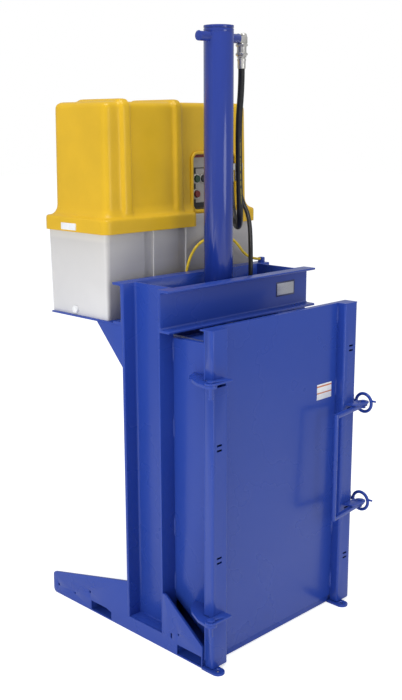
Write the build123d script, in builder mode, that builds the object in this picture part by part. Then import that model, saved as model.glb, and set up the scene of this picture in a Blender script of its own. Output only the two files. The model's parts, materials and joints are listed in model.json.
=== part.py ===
"""Drum crusher: a door-fronted crushing chamber with a vertical hydraulic ram.

Millimetres, +Z up. The origin is on the floor, under the axis of the ram.
The door faces -Y, its hinges are on the -X side and the power unit is at the back.
"""

import math
import os

from build123d import *

os.makedirs("parts", exist_ok=True)

# Running and seating clearances
pin_clearance = 0.05
swing_gap = 0.5
ram_clearance = 0.06

# Base weldment
frame_width = 810.0
side_plate_t = 10.0
tube_height = 50.0
tube_wall = 5.0
floor_t = 10.0
front_pocket_width = 138.0
front_pocket_y = -310.0
rear_pocket_width = 136.0
rear_pocket_y = 198.0
base_beam_depth = 150.0
plate_rear_y = 580.0
plate_rear_height = 90.0
plate_column_height = 206.0
plate_peak_height = 225.0
plate_nose_height = 86.0
plate_corner_r = 18.0
anchor_hole_r = 6.0
lug_t = 8.0
lug_radius = 25.0
lug_hole_r = 7.0
lug_overhang = 60.0
lug_left_inset = 20.0
lug_right_inset = 53.0

# Columns and beams are rolled channels
column_depth = 203.2
column_flange = 67.0
column_web_t = 6.0
column_flange_t = 9.9
column_root_r = 9.0
column_top = 1376.0
beam_height = 152.4
beam_flange = 48.8
beam_web_t = 5.1
beam_flange_t = 8.7
beam_root_r = 8.0

# Chamber of 5 mm sheet
sheet_t = 5.0
chamber_top = 1195.0
chamber_front_y = -310.0
chamber_back_y = 299.0
wall_fold_y = 102.0
panel_cut_height = 130.0
panel_cut_slope = 0.67
panel_lip = 38.0

# Door
door_left_inset = 8.0
door_right_overhang = 11.0
door_gap = 3.0
door_top = 1262.0
stile_bottom = 12.0
panel_bottom = 32.0
stile_width = 77.0
stile_depth = 38.0
stile_sheet = 4.5
stile_bend_r = 8.0
stile_corner_r = 14.0
top_lip = 24.0
slot_length = 25.0
slot_height = 7.4
slot_pitch = 18.6
slot_from_edge = 34.0
hinge_levels = (217.0, 1091.0)
latch_levels = (435.5, 855.0)

# Hinges
hinge_pin_r = 8.0
hinge_overhang = 20.0
hinge_axis_y = -374.0
leaf_t = 7.0
frame_leaf_t = 10.0
leaf_nose_r = 22.0
leaf_reach = 85.0
leaf_rear_y = -206.0
leaf_steps = ((49.0, 25.0), (74.0, 57.0), (101.0, 116.0))
pin_head_r = 13.0
pin_head_t = 6.0
pin_tail = 42.0
relief_height = 24.0
relief_width = 66.0

# Latch
latch_overhang = 23.0
latch_axis_y = -382.0
latch_pin_r = 6.0
latch_lug_t = 7.0
latch_lug_depth = 60.0
latch_lug_r = 22.0
arm_t = 15.0
arm_width = 16.0
arm_gap = 1.0
rod_setback = 182.0
rod_y = -405.0
rod_r = 9.0
keeper_ring_r = 37.0
keeper_bar_r = 6.5
keeper_ring_reach = 64.0
keeper_ring_y = -363.0
keeper_shank = 60.0
keeper_stub_rise = 13.0
keeper_stub_r = 4.0
keeper_plate_t = 10.0
keeper_tab_t = 12.0
keeper_tab_width = 40.0
keeper_tab_height = 44.0
keeper_front_y = -301.0
keeper_rear_y = -212.0
keeper_nut_t = 9.0
keeper_nut_across = 22.0

# Cylinder and ram
barrel_r = 55.5
bore_r = 46.0
barrel_bottom = 1200.0
barrel_top = 2290.0
barrel_cap_t = 25.0
cap_groove = 2.5
gland_length = 60.0
rod_r_ram = 32.0
piston_length = 40.0
piston_top_drop = 55.0
port_r = 8.0
boss_r = 18.0
boss_reach = 104.0
boss_drop = 40.0
low_boss_r = 16.0
low_boss_reach = 78.0
low_boss_z = 1290.0
mount_plate_t = 25.0
mount_plate_width = 320.0
mount_plate_z = 1240.0
platen_r = 285.0
platen_t = 20.0
platen_bottom = 1120.0
rib_t = 12.0
rib_height = 45.0
rib_reach = 255.0
hub_r = 60.0

# Power unit
shelf_t = 6.0
shelf_tub_inset = 18.0
gusset_t = 6.0
gusset_depth = 144.0
gusset_height = 156.0
unit_x = 1.5
tub_column_gap = 84.4
tub_width = 801.0
tub_depth = 356.0
tub_top = 1592.0
tub_draft = 1.0
tub_wall = 4.0
tub_corner_r = 20.0
groove_depth = 5.0
groove_widths = (50.0, 44.0)
groove_inset = 188.0
groove_window_gap = 93.0
plug_r = 13.0
skirt_bottom = 1545.0
skirt_wall = 6.0
skirt_clearance = 5.0
skirt_top = 1600.0
skirt_corner_r = 28.0
skirt_edge_r = 9.0
skirt_gap_margins = (6.0, 25.0)
cover_top = 2022.0
cover_end_inset = 28.0
cover_front_inset = 24.0
cover_rear_inset = 37.0
cover_lean = 6.0
cover_rear_lean = 2.0
cover_wall = 4.0
cover_corner_r = 26.0
cover_edge_r = 18.0
band_widths = (42.0, 37.0)
band_inset = 77.0
band_window_gap = 98.0
band_rise = 11.0
band_proud = 14.0
band_edge_r = 5.0
band_rear_setback = 66.0
window_width = 244.0
window_end_gap = 80.0
window_z = (1606.0, 1826.0)
window_corner_r = 24.0
window_rim = 11.0
window_proud = 5.0
board_y = 262.0
board_t = 6.0
board_margin = 5.0
board_top = 1832.0
panel_width = 134.0
panel_inset = 3.0
panel_z = (1612.0, 1822.0)
panel_depth = 46.0
button_r = 14.0
button_stem_r = 6.0
button_travel = 3.0
button_inset = 32.0
button_z = (1728.0, 1668.0)
tank_depth = 240.0
tank_height = 246.0
tank_end_gap = 69.0
tank_board_gap = 26.0
tank_wall = 3.0
motor_r = 78.0
motor_height = 240.0
pump_r = 45.0
pump_height = 150.0

# Hydraulic and electric lines
upper_hose_d = 22.0
lower_hose_d = 18.0
cord_d = 11.0
elbow_r = 12.0
elbow_x = 124.0
nut_r = 16.0
nut_length = 45.0
ferrule_r = 13.5
ferrule_length = 40.0
valve_width = 97.0
valve_panel_gap = 7.0
valve_depth = 56.0
valve_z = (1735.0, 1795.0)
valve_port_z = 1772.0
valve_port_insets = (31.0, 14.0)
valve_port_y = (160.0, 166.0)
valve_port_drop = 18.0
low_elbow_x = 184.0
low_elbow_top = 1305.0
cord_gland_r = 10.0
cord_gland_z = 1492.0
cord_standoff = 18.0
cord_gland_insets = (71.0, 151.0)
left_cord_foot_x = -20.0
clip_end_insets = (21.0, 5.0)
clip_y = 127.0
clip_height = 20.0
nameplate_width = 112.0
nameplate_height = 58.0
label_width = 90.0
label_height = 62.0
label_stile_gap = 28.0
label_z = 922.5
plate_end_gap = 76.5
plate_z = 1303.5

# Places that follow from the sizes above
floor_top = tube_height + floor_t
half_width = frame_width / 2
web_inner_x = half_width - column_flange
column_front_y = -column_depth / 2
column_rear_y = column_depth / 2
beam_top = column_top
beam_bottom = beam_top - beam_height
panel_back_y = chamber_front_y - door_gap
panel_front_y = panel_back_y - sheet_t
stile_front_y = panel_front_y - stile_depth
stile_height = door_top - stile_bottom
door_left_x = door_left_inset - half_width
door_right_x = half_width + door_right_overhang
door_width = door_right_x - door_left_x
hinge_axis_x = -half_width - hinge_overhang
latch_axis_x = door_right_x + latch_overhang
latch_lug_inner_x = door_right_x - latch_lug_depth
rod_x = door_right_x - rod_setback
keeper_ring_x = half_width + keeper_ring_reach
lug_left_x = lug_left_inset - half_width
lug_right_x = half_width - lug_right_inset
chamber_half = web_inner_x - sheet_t
shelf_top = beam_bottom
arm_drop = latch_lug_t / 2 + arm_gap + arm_t / 2
arm_levels = tuple(level - arm_drop for level in latch_levels)
boss_z = barrel_top - boss_drop
piston_bottom = barrel_top - piston_top_drop - piston_length
hub_top = platen_bottom + platen_t + rib_height
tub_left_x = unit_x - tub_width / 2
unit_y = column_rear_y + tub_column_gap + tub_depth / 2
tub_front_y = unit_y - tub_depth / 2
shelf_rear_y = unit_y + tub_depth / 2 - shelf_tub_inset
label_x = door_right_x - stile_width - label_stile_gap - label_width / 2
plate_x = half_width - plate_end_gap - nameplate_width / 2
skirt_inner_width = tub_width + 2 * skirt_clearance
skirt_inner_depth = tub_depth + 2 * skirt_clearance
skirt_width = skirt_inner_width + 2 * skirt_wall
skirt_depth = skirt_inner_depth + 2 * skirt_wall
cover_x = (unit_x - skirt_width / 2 + cover_end_inset, unit_x + skirt_width / 2 - cover_end_inset)
cover_y = (unit_y - skirt_depth / 2 + cover_front_inset, unit_y + skirt_depth / 2 - cover_rear_inset)
window_x = (cover_x[1] - window_end_gap - window_width, cover_x[1] - window_end_gap)
skirt_gap_x = (window_x[0] - skirt_gap_margins[0], window_x[1] + skirt_gap_margins[1])
band_lefts = (cover_x[0] + band_inset, window_x[0] - band_window_gap)
groove_lefts = (tub_left_x + groove_inset, window_x[0] - groove_window_gap)
board_x = (window_x[0] - board_margin, window_x[1] + board_margin)
panel_x = (window_x[0] + panel_inset, window_x[0] + panel_inset + panel_width)
button_x = panel_x[0] + button_inset
valve_x = (panel_x[1] + valve_panel_gap, panel_x[1] + valve_panel_gap + valve_width)
valve_port_x = (valve_x[0] + valve_port_insets[0], valve_x[1] - valve_port_insets[1])
cord_gland_x = (window_x[0] + cord_gland_insets[0], window_x[0] + cord_gland_insets[1])
cord_y = tub_front_y - cord_standoff
clip_x = (half_width - clip_end_insets[0], half_width - clip_end_insets[1])
tank_x = (tub_left_x + tank_end_gap, board_x[0] - tank_board_gap)
tank_mid_x = (tank_x[0] + tank_x[1]) / 2
tank_width = tank_x[1] - tank_x[0]


def save(part, label):
    """Label one finished piece and write it as its own file."""
    part.label = label
    export_step(part, f"parts/{label}.step")


def turn_angle(before, corner, after):
    """Angle in degrees by which a route turns at a corner."""
    return (corner - before).get_angle(after - corner)


def corner_radii(points):
    """Largest smooth arc at each inner corner of a cord's route."""
    radii = []
    for before, corner, after in zip(points, points[1:], points[2:]):
        run = min((corner - before).length, (after - corner).length)
        half_turn = math.radians(turn_angle(before, corner, after)) / 2
        radii.append(0.45 * run / math.tan(half_turn))
    return radii


def channel_profile(depth, flange, web_t, flange_t, root_r):
    """Channel section: web along X = 0, flanges towards +X, centred on Y."""
    with BuildSketch() as section:
        with BuildLine():
            Polyline(
                (0, -depth / 2),
                (flange, -depth / 2),
                (flange, -depth / 2 + flange_t),
                (web_t, -depth / 2 + flange_t),
                (web_t, depth / 2 - flange_t),
                (flange, depth / 2 - flange_t),
                (flange, depth / 2),
                (0, depth / 2),
                close=True,
            )
        make_face()
        roots = [v for v in section.vertices() if abs(v.X - web_t) < 0.01]
        fillet(roots, root_r)
        toes = [v for v in section.vertices() if abs(v.X - flange) < 0.01 and abs(v.Y) < depth / 2 - 1]
        fillet(toes, flange_t / 2)
    return section.sketch


# Base: two side plates joined by fork tubes, a middle beam and the floor plate
slope_end_y = front_pocket_y + 1

for side, sx in (("left", -1), ("right", 1)):
    plate_plane = Plane(origin=(sx * half_width, 0, 0), x_dir=(0, 1, 0), z_dir=(1, 0, 0))
    with BuildPart() as side_plate:
        with BuildSketch(plate_plane) as outline:
            with BuildLine():
                Polyline(
                    (slope_end_y, 0),
                    (plate_rear_y, 0),
                    (plate_rear_y, plate_rear_height),
                    (column_rear_y, plate_column_height),
                    (column_rear_y, floor_top),
                    (column_front_y, floor_top),
                    (column_front_y, plate_peak_height),
                    (column_front_y - 12, plate_peak_height),
                    (slope_end_y, plate_nose_height),
                    close=True,
                )
            make_face()
            fillet(outline.vertices().group_by(Axis.X)[-1], plate_corner_r)
            with Locations((front_pocket_y + front_pocket_width / 2, tube_height / 2)):
                Rectangle(front_pocket_width - 2 * tube_wall, tube_height - 2 * tube_wall, mode=Mode.SUBTRACT)
            with BuildLine():
                Polyline(
                    (rear_pocket_y + tube_wall, tube_wall),
                    (rear_pocket_y + tube_wall, tube_height - 2.5 * tube_wall),
                    (rear_pocket_y + 7 * tube_wall, tube_height - tube_wall),
                    (rear_pocket_y + rear_pocket_width - tube_wall, tube_height - tube_wall),
                    (rear_pocket_y + rear_pocket_width - tube_wall, tube_wall),
                    close=True,
                )
            make_face(mode=Mode.SUBTRACT)
            with Locations((plate_rear_y - 36, 42), (plate_rear_y - 245, 80)):
                Circle(anchor_hole_r, mode=Mode.SUBTRACT)
            with Locations((plate_rear_y - 145, 40), (column_front_y - 84, 88)):
                Circle(anchor_hole_r * 0.7, mode=Mode.SUBTRACT)
            with Locations((column_front_y - 45, 69)):
                SlotOverall(22, anchor_hole_r * 1.5, rotation=90, mode=Mode.SUBTRACT)
        extrude(amount=-sx * side_plate_t)
    save(side_plate.part, f"side_plate_{side}")

tube_length = frame_width - 2 * side_plate_t
with BuildPart() as base_tubes:
    for low_y, width in (
        (front_pocket_y, front_pocket_width),
        (rear_pocket_y, rear_pocket_width),
        (-base_beam_depth / 2, base_beam_depth),
    ):
        with BuildSketch(Plane.YZ.offset(-tube_length / 2)):
            with Locations((low_y + width / 2, tube_height / 2)):
                RectangleRounded(width, tube_height, tube_wall)
                Rectangle(width - 2 * tube_wall, tube_height - 2 * tube_wall, mode=Mode.SUBTRACT)
        extrude(amount=tube_length)
save(base_tubes.part, "base_tubes")

fold_run = chamber_back_y - wall_fold_y
with BuildPart() as floor_plate:
    with BuildSketch(Plane.XY.offset(tube_height)):
        with BuildLine():
            Polyline(
                (-tube_length / 2, front_pocket_y),
                (tube_length / 2, front_pocket_y),
                (tube_length / 2, column_rear_y),
                (web_inner_x, wall_fold_y),
                (web_inner_x - fold_run, chamber_back_y + sheet_t),
                (fold_run - web_inner_x, chamber_back_y + sheet_t),
                (-web_inner_x, wall_fold_y),
                (-tube_length / 2, column_rear_y),
                close=True,
            )
        make_face()
    extrude(amount=floor_t)
save(floor_plate.part, "floor_plate")

with BuildPart() as foot_lugs:
    with BuildSketch():
        for lug_x in (lug_left_x, lug_right_x):
            with Locations((lug_x, front_pocket_y - lug_overhang / 2)):
                Rectangle(2 * lug_radius, lug_overhang)
            with Locations((lug_x, front_pocket_y - lug_overhang)):
                Circle(lug_radius)
                Circle(lug_hole_r, mode=Mode.SUBTRACT)
    extrude(amount=lug_t)
save(foot_lugs.part, "foot_lugs")

# Columns and beams
for side, sx in (("left", -1), ("right", 1)):
    with BuildPart() as column:
        profile = channel_profile(column_depth, column_flange, column_web_t, column_flange_t, column_root_r)
        with BuildSketch(Plane.XY.offset(floor_top)):
            with Locations(Location((sx * web_inner_x, 0), 0 if sx > 0 else 180)):
                add(profile)
        extrude(amount=column_top - floor_top)
    save(column.part, f"column_{side}")

for label, face_y, sy in (("front_beam", column_front_y, -1), ("rear_beam", column_rear_y, 1)):
    with BuildPart() as beam:
        profile = channel_profile(beam_height, beam_flange, beam_web_t, beam_flange_t, beam_root_r)
        beam_origin = (-half_width, face_y, beam_top - beam_height / 2)
        beam_plane = Plane(origin=beam_origin, x_dir=(0, sy, 0), z_dir=(1, 0, 0))
        with BuildSketch(beam_plane):
            add(profile)
        extrude(amount=frame_width)
    save(beam.part, label)

# Chamber walls
wall_height = chamber_top - floor_top
for side, sx in (("left", -1), ("right", 1)):
    panel_plane = Plane(origin=(sx * web_inner_x, 0, 0), x_dir=(0, 1, 0), z_dir=(1, 0, 0))
    cut_run = panel_cut_height / panel_cut_slope
    with BuildPart() as side_panel:
        with BuildSketch(panel_plane):
            with BuildLine():
                Polyline(
                    (chamber_front_y, floor_top),
                    (column_front_y - cut_run, floor_top),
                    (column_front_y, floor_top + panel_cut_height),
                    (column_front_y, floor_top),
                    (wall_fold_y, floor_top),
                    (wall_fold_y, chamber_top),
                    (chamber_front_y, chamber_top),
                    close=True,
                )
            make_face()
        extrude(amount=-sx * sheet_t)
        with BuildSketch(Plane.XY.offset(chamber_top - sheet_t)):
            with Locations((sx * (chamber_half - panel_lip / 2), (chamber_front_y + wall_fold_y) / 2)):
                Rectangle(panel_lip, wall_fold_y - chamber_front_y)
        extrude(amount=sheet_t)
    save(side_panel.part, f"side_panel_{side}")

with BuildPart() as rear_wall:
    with BuildSketch(Plane.XY.offset(floor_top)):
        with BuildLine():
            outer_fold = Polyline(
                (-web_inner_x, wall_fold_y),
                (fold_run - web_inner_x, chamber_back_y + sheet_t),
                (web_inner_x - fold_run, chamber_back_y + sheet_t),
                (web_inner_x, wall_fold_y),
            )
            Polyline(
                outer_fold @ 1,
                (chamber_half - 2, wall_fold_y),
                (chamber_half - fold_run + 2, chamber_back_y),
                (fold_run - chamber_half - 2, chamber_back_y),
                (2 - chamber_half, wall_fold_y),
                outer_fold @ 0,
            )
        make_face()
    extrude(amount=wall_height)
save(rear_wall.part, "rear_wall")

# Frame halves of the hinges
side_face_x = -web_inner_x
leaf_left_x = hinge_axis_x - leaf_nose_r
leaf_right_x = door_left_x - door_gap
with BuildPart() as frame_hinges:
    for level in hinge_levels:
        leaf_top = level - leaf_t / 2 - swing_gap
        with BuildSketch(Plane.XY.offset(leaf_top - frame_leaf_t)) as leaf_outline:
            with BuildLine():
                Polyline(
                    (side_face_x, leaf_rear_y),
                    (side_face_x - leaf_steps[0][0], leaf_rear_y - leaf_steps[0][1]),
                    (side_face_x - leaf_steps[1][0], leaf_rear_y - leaf_steps[1][1]),
                    (side_face_x - leaf_steps[2][0], leaf_rear_y - leaf_steps[2][1]),
                    (leaf_left_x, hinge_axis_y),
                    (hinge_axis_x, hinge_axis_y),
                    (leaf_right_x, hinge_axis_y + 22),
                    (leaf_right_x, chamber_front_y + 1),
                    (side_face_x, chamber_front_y + 1),
                    close=True,
                )
            make_face()
            rear = [v for v in leaf_outline.vertices() if v.Y > -300 and v.X < side_face_x - 20]
            fillet(rear, 18)
            with Locations((hinge_axis_x, hinge_axis_y)):
                Circle(leaf_nose_r)
                Circle(hinge_pin_r + pin_clearance / 2, mode=Mode.SUBTRACT)
        extrude(amount=frame_leaf_t)
save(frame_hinges.part, "frame_hinges")

with BuildPart() as hinge_pins:
    for level in hinge_levels:
        head_z = level + leaf_t / 2 + swing_gap
        with BuildSketch(Plane.XY.offset(head_z - leaf_t - frame_leaf_t - pin_tail)):
            with Locations((hinge_axis_x, hinge_axis_y)):
                Circle(hinge_pin_r)
        extrude(amount=leaf_t + frame_leaf_t + pin_tail)
        with BuildSketch(Plane.XY.offset(head_z)):
            with Locations((hinge_axis_x, hinge_axis_y)):
                RegularPolygon(pin_head_r, 6, major_radius=False)
        extrude(amount=pin_head_t)
save(hinge_pins.part, "hinge_pins")

# Keepers on the right: a plate with an upright tab that holds an eye bolt
keeper_outer_x = keeper_ring_x + keeper_tab_width / 2
with BuildPart() as keeper_plates:
    for ring_z in arm_levels:
        plate_top = ring_z - keeper_nut_across / 2 - 4
        with BuildSketch(Plane.XY.offset(plate_top - keeper_plate_t)):
            with BuildLine():
                Polyline(
                    (web_inner_x, keeper_front_y),
                    (keeper_outer_x, keeper_front_y),
                    (keeper_outer_x, keeper_rear_y - 45),
                    (web_inner_x + 55, keeper_rear_y),
                    (web_inner_x, keeper_rear_y),
                    close=True,
                )
            make_face()
        extrude(amount=keeper_plate_t)
        tab_plane = Plane(origin=(0, keeper_front_y, 0), x_dir=(1, 0, 0), z_dir=(0, -1, 0))
        with BuildSketch(tab_plane):
            with Locations((keeper_ring_x, plate_top - keeper_plate_t + keeper_tab_height / 2)):
                Rectangle(keeper_tab_width, keeper_tab_height)
            with Locations((keeper_ring_x, ring_z)):
                Circle(keeper_bar_r + pin_clearance, mode=Mode.SUBTRACT)
        extrude(amount=-keeper_tab_t)
save(keeper_plates.part, "keeper_plates")

with BuildPart() as keeper_eyebolts:
    for ring_z in arm_levels:
        stub_y = keeper_ring_y - math.sqrt(keeper_ring_r**2 - keeper_stub_rise**2)
        with Locations(Location((keeper_ring_x, keeper_ring_y, ring_z), (0, 90, 0))):
            Torus(keeper_ring_r, keeper_bar_r)
        with Locations(Location((keeper_ring_x, keeper_ring_y + keeper_ring_r, ring_z), (-90, 0, 0))):
            Cylinder(keeper_bar_r, keeper_shank, align=(Align.CENTER, Align.CENTER, Align.MIN))
        with Locations(Location((keeper_ring_x, stub_y, ring_z + keeper_stub_rise), (90, 0, 0))):
            Cylinder(keeper_stub_r, 23, align=(Align.CENTER, Align.CENTER, Align.MIN))
save(keeper_eyebolts.part, "keeper_eyebolts")

with BuildPart() as keeper_nuts:
    for ring_z in arm_levels:
        for face_y in (keeper_front_y, keeper_front_y + keeper_tab_t + keeper_nut_t):
            nut_plane = Plane(origin=(keeper_ring_x, face_y, ring_z), x_dir=(1, 0, 0), z_dir=(0, -1, 0))
            with BuildSketch(nut_plane):
                RegularPolygon(keeper_nut_across / 2, 6, major_radius=False)
                Circle(keeper_bar_r + pin_clearance / 2, mode=Mode.SUBTRACT)
            extrude(amount=keeper_nut_t)
save(keeper_nuts.part, "keeper_nuts")

# Door: a sheet with a top lip and two channel stiles
with BuildPart() as door_panel:
    with BuildSketch(Plane.YZ.offset(door_left_x)):
        with BuildLine():
            Polyline(
                (panel_front_y, panel_bottom),
                (panel_back_y, panel_bottom),
                (panel_back_y, door_top - sheet_t),
                (panel_front_y + top_lip, door_top - sheet_t),
                (panel_front_y + top_lip, door_top),
                (panel_front_y, door_top),
                close=True,
            )
        make_face()
    extrude(amount=door_width)
save(door_panel.part, "door_panel")

slot_levels = [level - drop for level in hinge_levels + latch_levels for drop in (0, slot_pitch)]
for side, edge_x, inward in (("left", door_left_x, 1), ("right", door_right_x, -1)):
    mid_x = edge_x + inward * stile_width / 2
    slot_x = edge_x + inward * slot_from_edge
    with BuildPart() as stile:
        with BuildSketch(Plane.XY.offset(stile_bottom)) as ring:
            with Locations((mid_x, stile_front_y + stile_depth / 2)):
                Rectangle(stile_width, stile_depth)
            fillet(ring.vertices().group_by(Axis.Y)[0], stile_bend_r)
            with Locations((mid_x, stile_front_y + stile_depth / 2 + stile_sheet)):
                Rectangle(stile_width - 2 * stile_sheet, stile_depth, mode=Mode.SUBTRACT)
        extrude(amount=stile_height)
        front_plane = Plane(origin=(0, stile_front_y, 0), x_dir=(1, 0, 0), z_dir=(0, -1, 0))
        with BuildSketch(front_plane):
            with Locations([(slot_x, level) for level in slot_levels]):
                Rectangle(slot_length, slot_height)
        extrude(amount=-stile_sheet, mode=Mode.SUBTRACT)
        if side == "left":
            for level in hinge_levels:
                relief_top = level - leaf_t / 2
                relief_x = edge_x + relief_width / 2
                with Locations((relief_x, stile_front_y + stile_depth / 2, relief_top - relief_height / 2)):
                    Box(relief_width, stile_depth, relief_height, mode=Mode.SUBTRACT)
        else:
            with BuildSketch(front_plane) as front_outline:
                with Locations((mid_x, stile_bottom + stile_height / 2)):
                    Rectangle(stile_width, stile_height)
                fillet(front_outline.vertices().group_by(Axis.X)[-1], stile_corner_r)
            extrude(amount=-stile_depth, mode=Mode.INTERSECT)
    save(stile.part, f"stile_{side}")

leaf_end_x = hinge_axis_x + leaf_reach
leaf_front_y = hinge_axis_y - leaf_nose_r
with BuildPart() as door_hinges:
    for level in hinge_levels:
        with BuildSketch(Plane.XY.offset(level - leaf_t / 2)):
            with Locations((hinge_axis_x, hinge_axis_y)):
                Circle(leaf_nose_r)
            with BuildLine():
                Polyline(
                    (hinge_axis_x, leaf_front_y),
                    (leaf_end_x, leaf_front_y),
                    (leaf_end_x, stile_front_y),
                    (hinge_axis_x, stile_front_y),
                    close=True,
                )
            make_face()
            with Locations((door_left_x + slot_from_edge, stile_front_y + stile_sheet / 2)):
                Rectangle(slot_length - 0.4, stile_sheet)
            with Locations((hinge_axis_x, hinge_axis_y)):
                Circle(hinge_pin_r + pin_clearance, mode=Mode.SUBTRACT)
        extrude(amount=leaf_t)
save(door_hinges.part, "door_hinges")

lug_front_y = latch_axis_y - latch_lug_r
with BuildPart() as latch_lugs:
    for level in latch_levels:
        with BuildSketch(Plane.XY.offset(level - latch_lug_t / 2)):
            with BuildLine():
                Polyline(
                    (latch_lug_inner_x + 12, lug_front_y + 8),
                    (latch_axis_x - 8, lug_front_y),
                    (latch_axis_x, lug_front_y),
                    (latch_axis_x, stile_front_y),
                    (latch_lug_inner_x, stile_front_y),
                    close=True,
                )
            make_face()
            with Locations((latch_axis_x, latch_axis_y)):
                Circle(latch_lug_r)
            with Locations((door_right_x - slot_from_edge, stile_front_y + stile_sheet / 2)):
                Rectangle(slot_length - 0.4, stile_sheet)
            with Locations((latch_axis_x, latch_axis_y)):
                Circle(latch_pin_r + pin_clearance / 2, mode=Mode.SUBTRACT)
        extrude(amount=latch_lug_t)
save(latch_lugs.part, "latch_lugs")

with BuildPart() as latch_pins:
    for level in latch_levels:
        shaft_bottom = level - latch_lug_t / 2 - arm_gap - arm_t - 2 * swing_gap
        with BuildSketch(Plane.XY.offset(shaft_bottom)):
            with Locations((latch_axis_x, latch_axis_y)):
                Circle(latch_pin_r)
        extrude(amount=level + latch_lug_t / 2 - shaft_bottom)
        for disc_z in (shaft_bottom - 4, level + latch_lug_t / 2):
            with BuildSketch(Plane.XY.offset(disc_z)):
                with Locations((latch_axis_x, latch_axis_y)):
                    RegularPolygon(latch_pin_r * 1.5, 6, major_radius=False)
            extrude(amount=4)
save(latch_pins.part, "latch_pins")

with BuildPart() as door_label:
    with Locations((label_x, panel_front_y - 0.3, label_z)):
        Box(label_width, 0.6, label_height)
save(door_label.part, "door_label")

# Latch: a rod between two flat arms that turn on the latch pins
with BuildPart() as latch_rod:
    with BuildSketch(Plane.XY.offset(arm_levels[0] - arm_t / 2)):
        with Locations((rod_x, rod_y)):
            Circle(rod_r)
    extrude(amount=arm_levels[1] - arm_levels[0] + arm_t)
save(latch_rod.part, "latch_rod")

arm_run = Vector(latch_axis_x - rod_x, latch_axis_y - rod_y)
arm_angle = math.degrees(math.atan2(arm_run.Y, arm_run.X))
with BuildPart() as latch_arms:
    for level in arm_levels:
        arm_plane = Plane(Location((rod_x, rod_y, level - arm_t / 2), (0, 0, arm_angle)))
        with BuildSketch(arm_plane):
            with Locations((arm_run.length / 2 + 11, 0)):
                Rectangle(arm_run.length + 22, arm_width)
            Circle(rod_r, mode=Mode.SUBTRACT)
            with Locations((arm_run.length, 0)):
                Circle(latch_pin_r + pin_clearance, mode=Mode.SUBTRACT)
        extrude(amount=arm_t)
save(latch_arms.part, "latch_arms")

# Cylinder
with BuildPart() as mount_plate:
    with BuildSketch(Plane.XY.offset(mount_plate_z)):
        Rectangle(mount_plate_width, column_depth)
        Circle(barrel_r + pin_clearance / 2, mode=Mode.SUBTRACT)
    extrude(amount=mount_plate_t)
save(mount_plate.part, "mount_plate")

with BuildPart() as barrel:
    with BuildSketch(Plane.XY.offset(barrel_bottom)):
        Circle(barrel_r)
    extrude(amount=barrel_top - barrel_cap_t - barrel_bottom)
    with BuildSketch(Plane.YZ.offset(-boss_reach)):
        with Locations((0, boss_z)):
            Circle(boss_r)
    extrude(amount=2 * boss_reach)
    with BuildSketch(Plane.YZ):
        with Locations((0, low_boss_z)):
            Circle(low_boss_r)
    extrude(amount=low_boss_reach)
    with BuildSketch(Plane.XY.offset(barrel_bottom)):
        Circle(bore_r)
    extrude(amount=barrel_top - barrel_bottom, mode=Mode.SUBTRACT)
    with BuildSketch(Plane.YZ):
        with Locations((0, boss_z), (0, low_boss_z)):
            Circle(port_r)
    extrude(amount=boss_reach, mode=Mode.SUBTRACT)
    with BuildSketch(Plane.XY.offset(barrel_top - barrel_cap_t)):
        Circle(boss_reach)
    extrude(amount=barrel_cap_t, mode=Mode.SUBTRACT)
save(barrel.part, "barrel")

with BuildPart() as barrel_cap:
    with BuildSketch(Plane.XY.offset(barrel_top - barrel_cap_t)):
        Circle(barrel_r)
    extrude(amount=barrel_cap_t)
    with BuildSketch(Plane.XY.offset(barrel_top - 12)):
        Circle(barrel_r)
        Circle(barrel_r - cap_groove, mode=Mode.SUBTRACT)
    extrude(amount=4, mode=Mode.SUBTRACT)
    with BuildSketch(Plane.XY.offset(barrel_top - 5)):
        Circle(barrel_r - 9)
    extrude(amount=5, mode=Mode.SUBTRACT)
save(barrel_cap.part, "barrel_cap")

with BuildPart() as rod_gland:
    with BuildSketch(Plane.XY.offset(barrel_bottom)):
        Circle(bore_r)
        Circle(rod_r_ram + ram_clearance, mode=Mode.SUBTRACT)
    extrude(amount=gland_length)
save(rod_gland.part, "rod_gland")

with BuildPart() as piston:
    with BuildSketch(Plane.XY.offset(piston_bottom)):
        Circle(bore_r - ram_clearance)
    extrude(amount=piston_length)
save(piston.part, "piston")

with BuildPart() as piston_rod:
    with BuildSketch(Plane.XY.offset(hub_top)):
        Circle(rod_r_ram)
    extrude(amount=piston_bottom - hub_top)
save(piston_rod.part, "piston_rod")

with BuildPart() as platen:
    with BuildSketch(Plane.XY.offset(platen_bottom)):
        Circle(platen_r)
    extrude(amount=platen_t)
    with BuildSketch(Plane.XY.offset(platen_bottom + platen_t)):
        Circle(hub_r)
        Rectangle(2 * rib_reach, rib_t, rotation=45)
        Rectangle(2 * rib_reach, rib_t, rotation=-45)
    extrude(amount=rib_height)
save(platen.part, "platen")

elbow_z = boss_z - 4
nut_top = elbow_z - 18
ferrule_bottom = nut_top - nut_length - ferrule_length
with BuildPart() as hose_ferrules:
    for foot_x, foot_y, foot_z in (
        (elbow_x, 0, ferrule_bottom),
        (low_elbow_x, 0, low_elbow_top),
        (valve_port_x[0], valve_port_y[0], valve_port_z - valve_port_drop - ferrule_length),
        (valve_port_x[1], valve_port_y[1], valve_port_z - valve_port_drop - ferrule_length),
    ):
        with BuildSketch(Plane.XY.offset(foot_z)):
            with Locations((foot_x, foot_y)):
                Circle(ferrule_r)
        extrude(amount=ferrule_length)
        for groove in range(3):
            with BuildSketch(Plane.XY.offset(foot_z + 10 + 12 * groove)):
                with Locations((foot_x, foot_y)):
                    Circle(ferrule_r)
                    Circle(ferrule_r - 0.8, mode=Mode.SUBTRACT)
            extrude(amount=4, mode=Mode.SUBTRACT)
save(hose_ferrules.part, "hose_ferrules")

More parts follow.
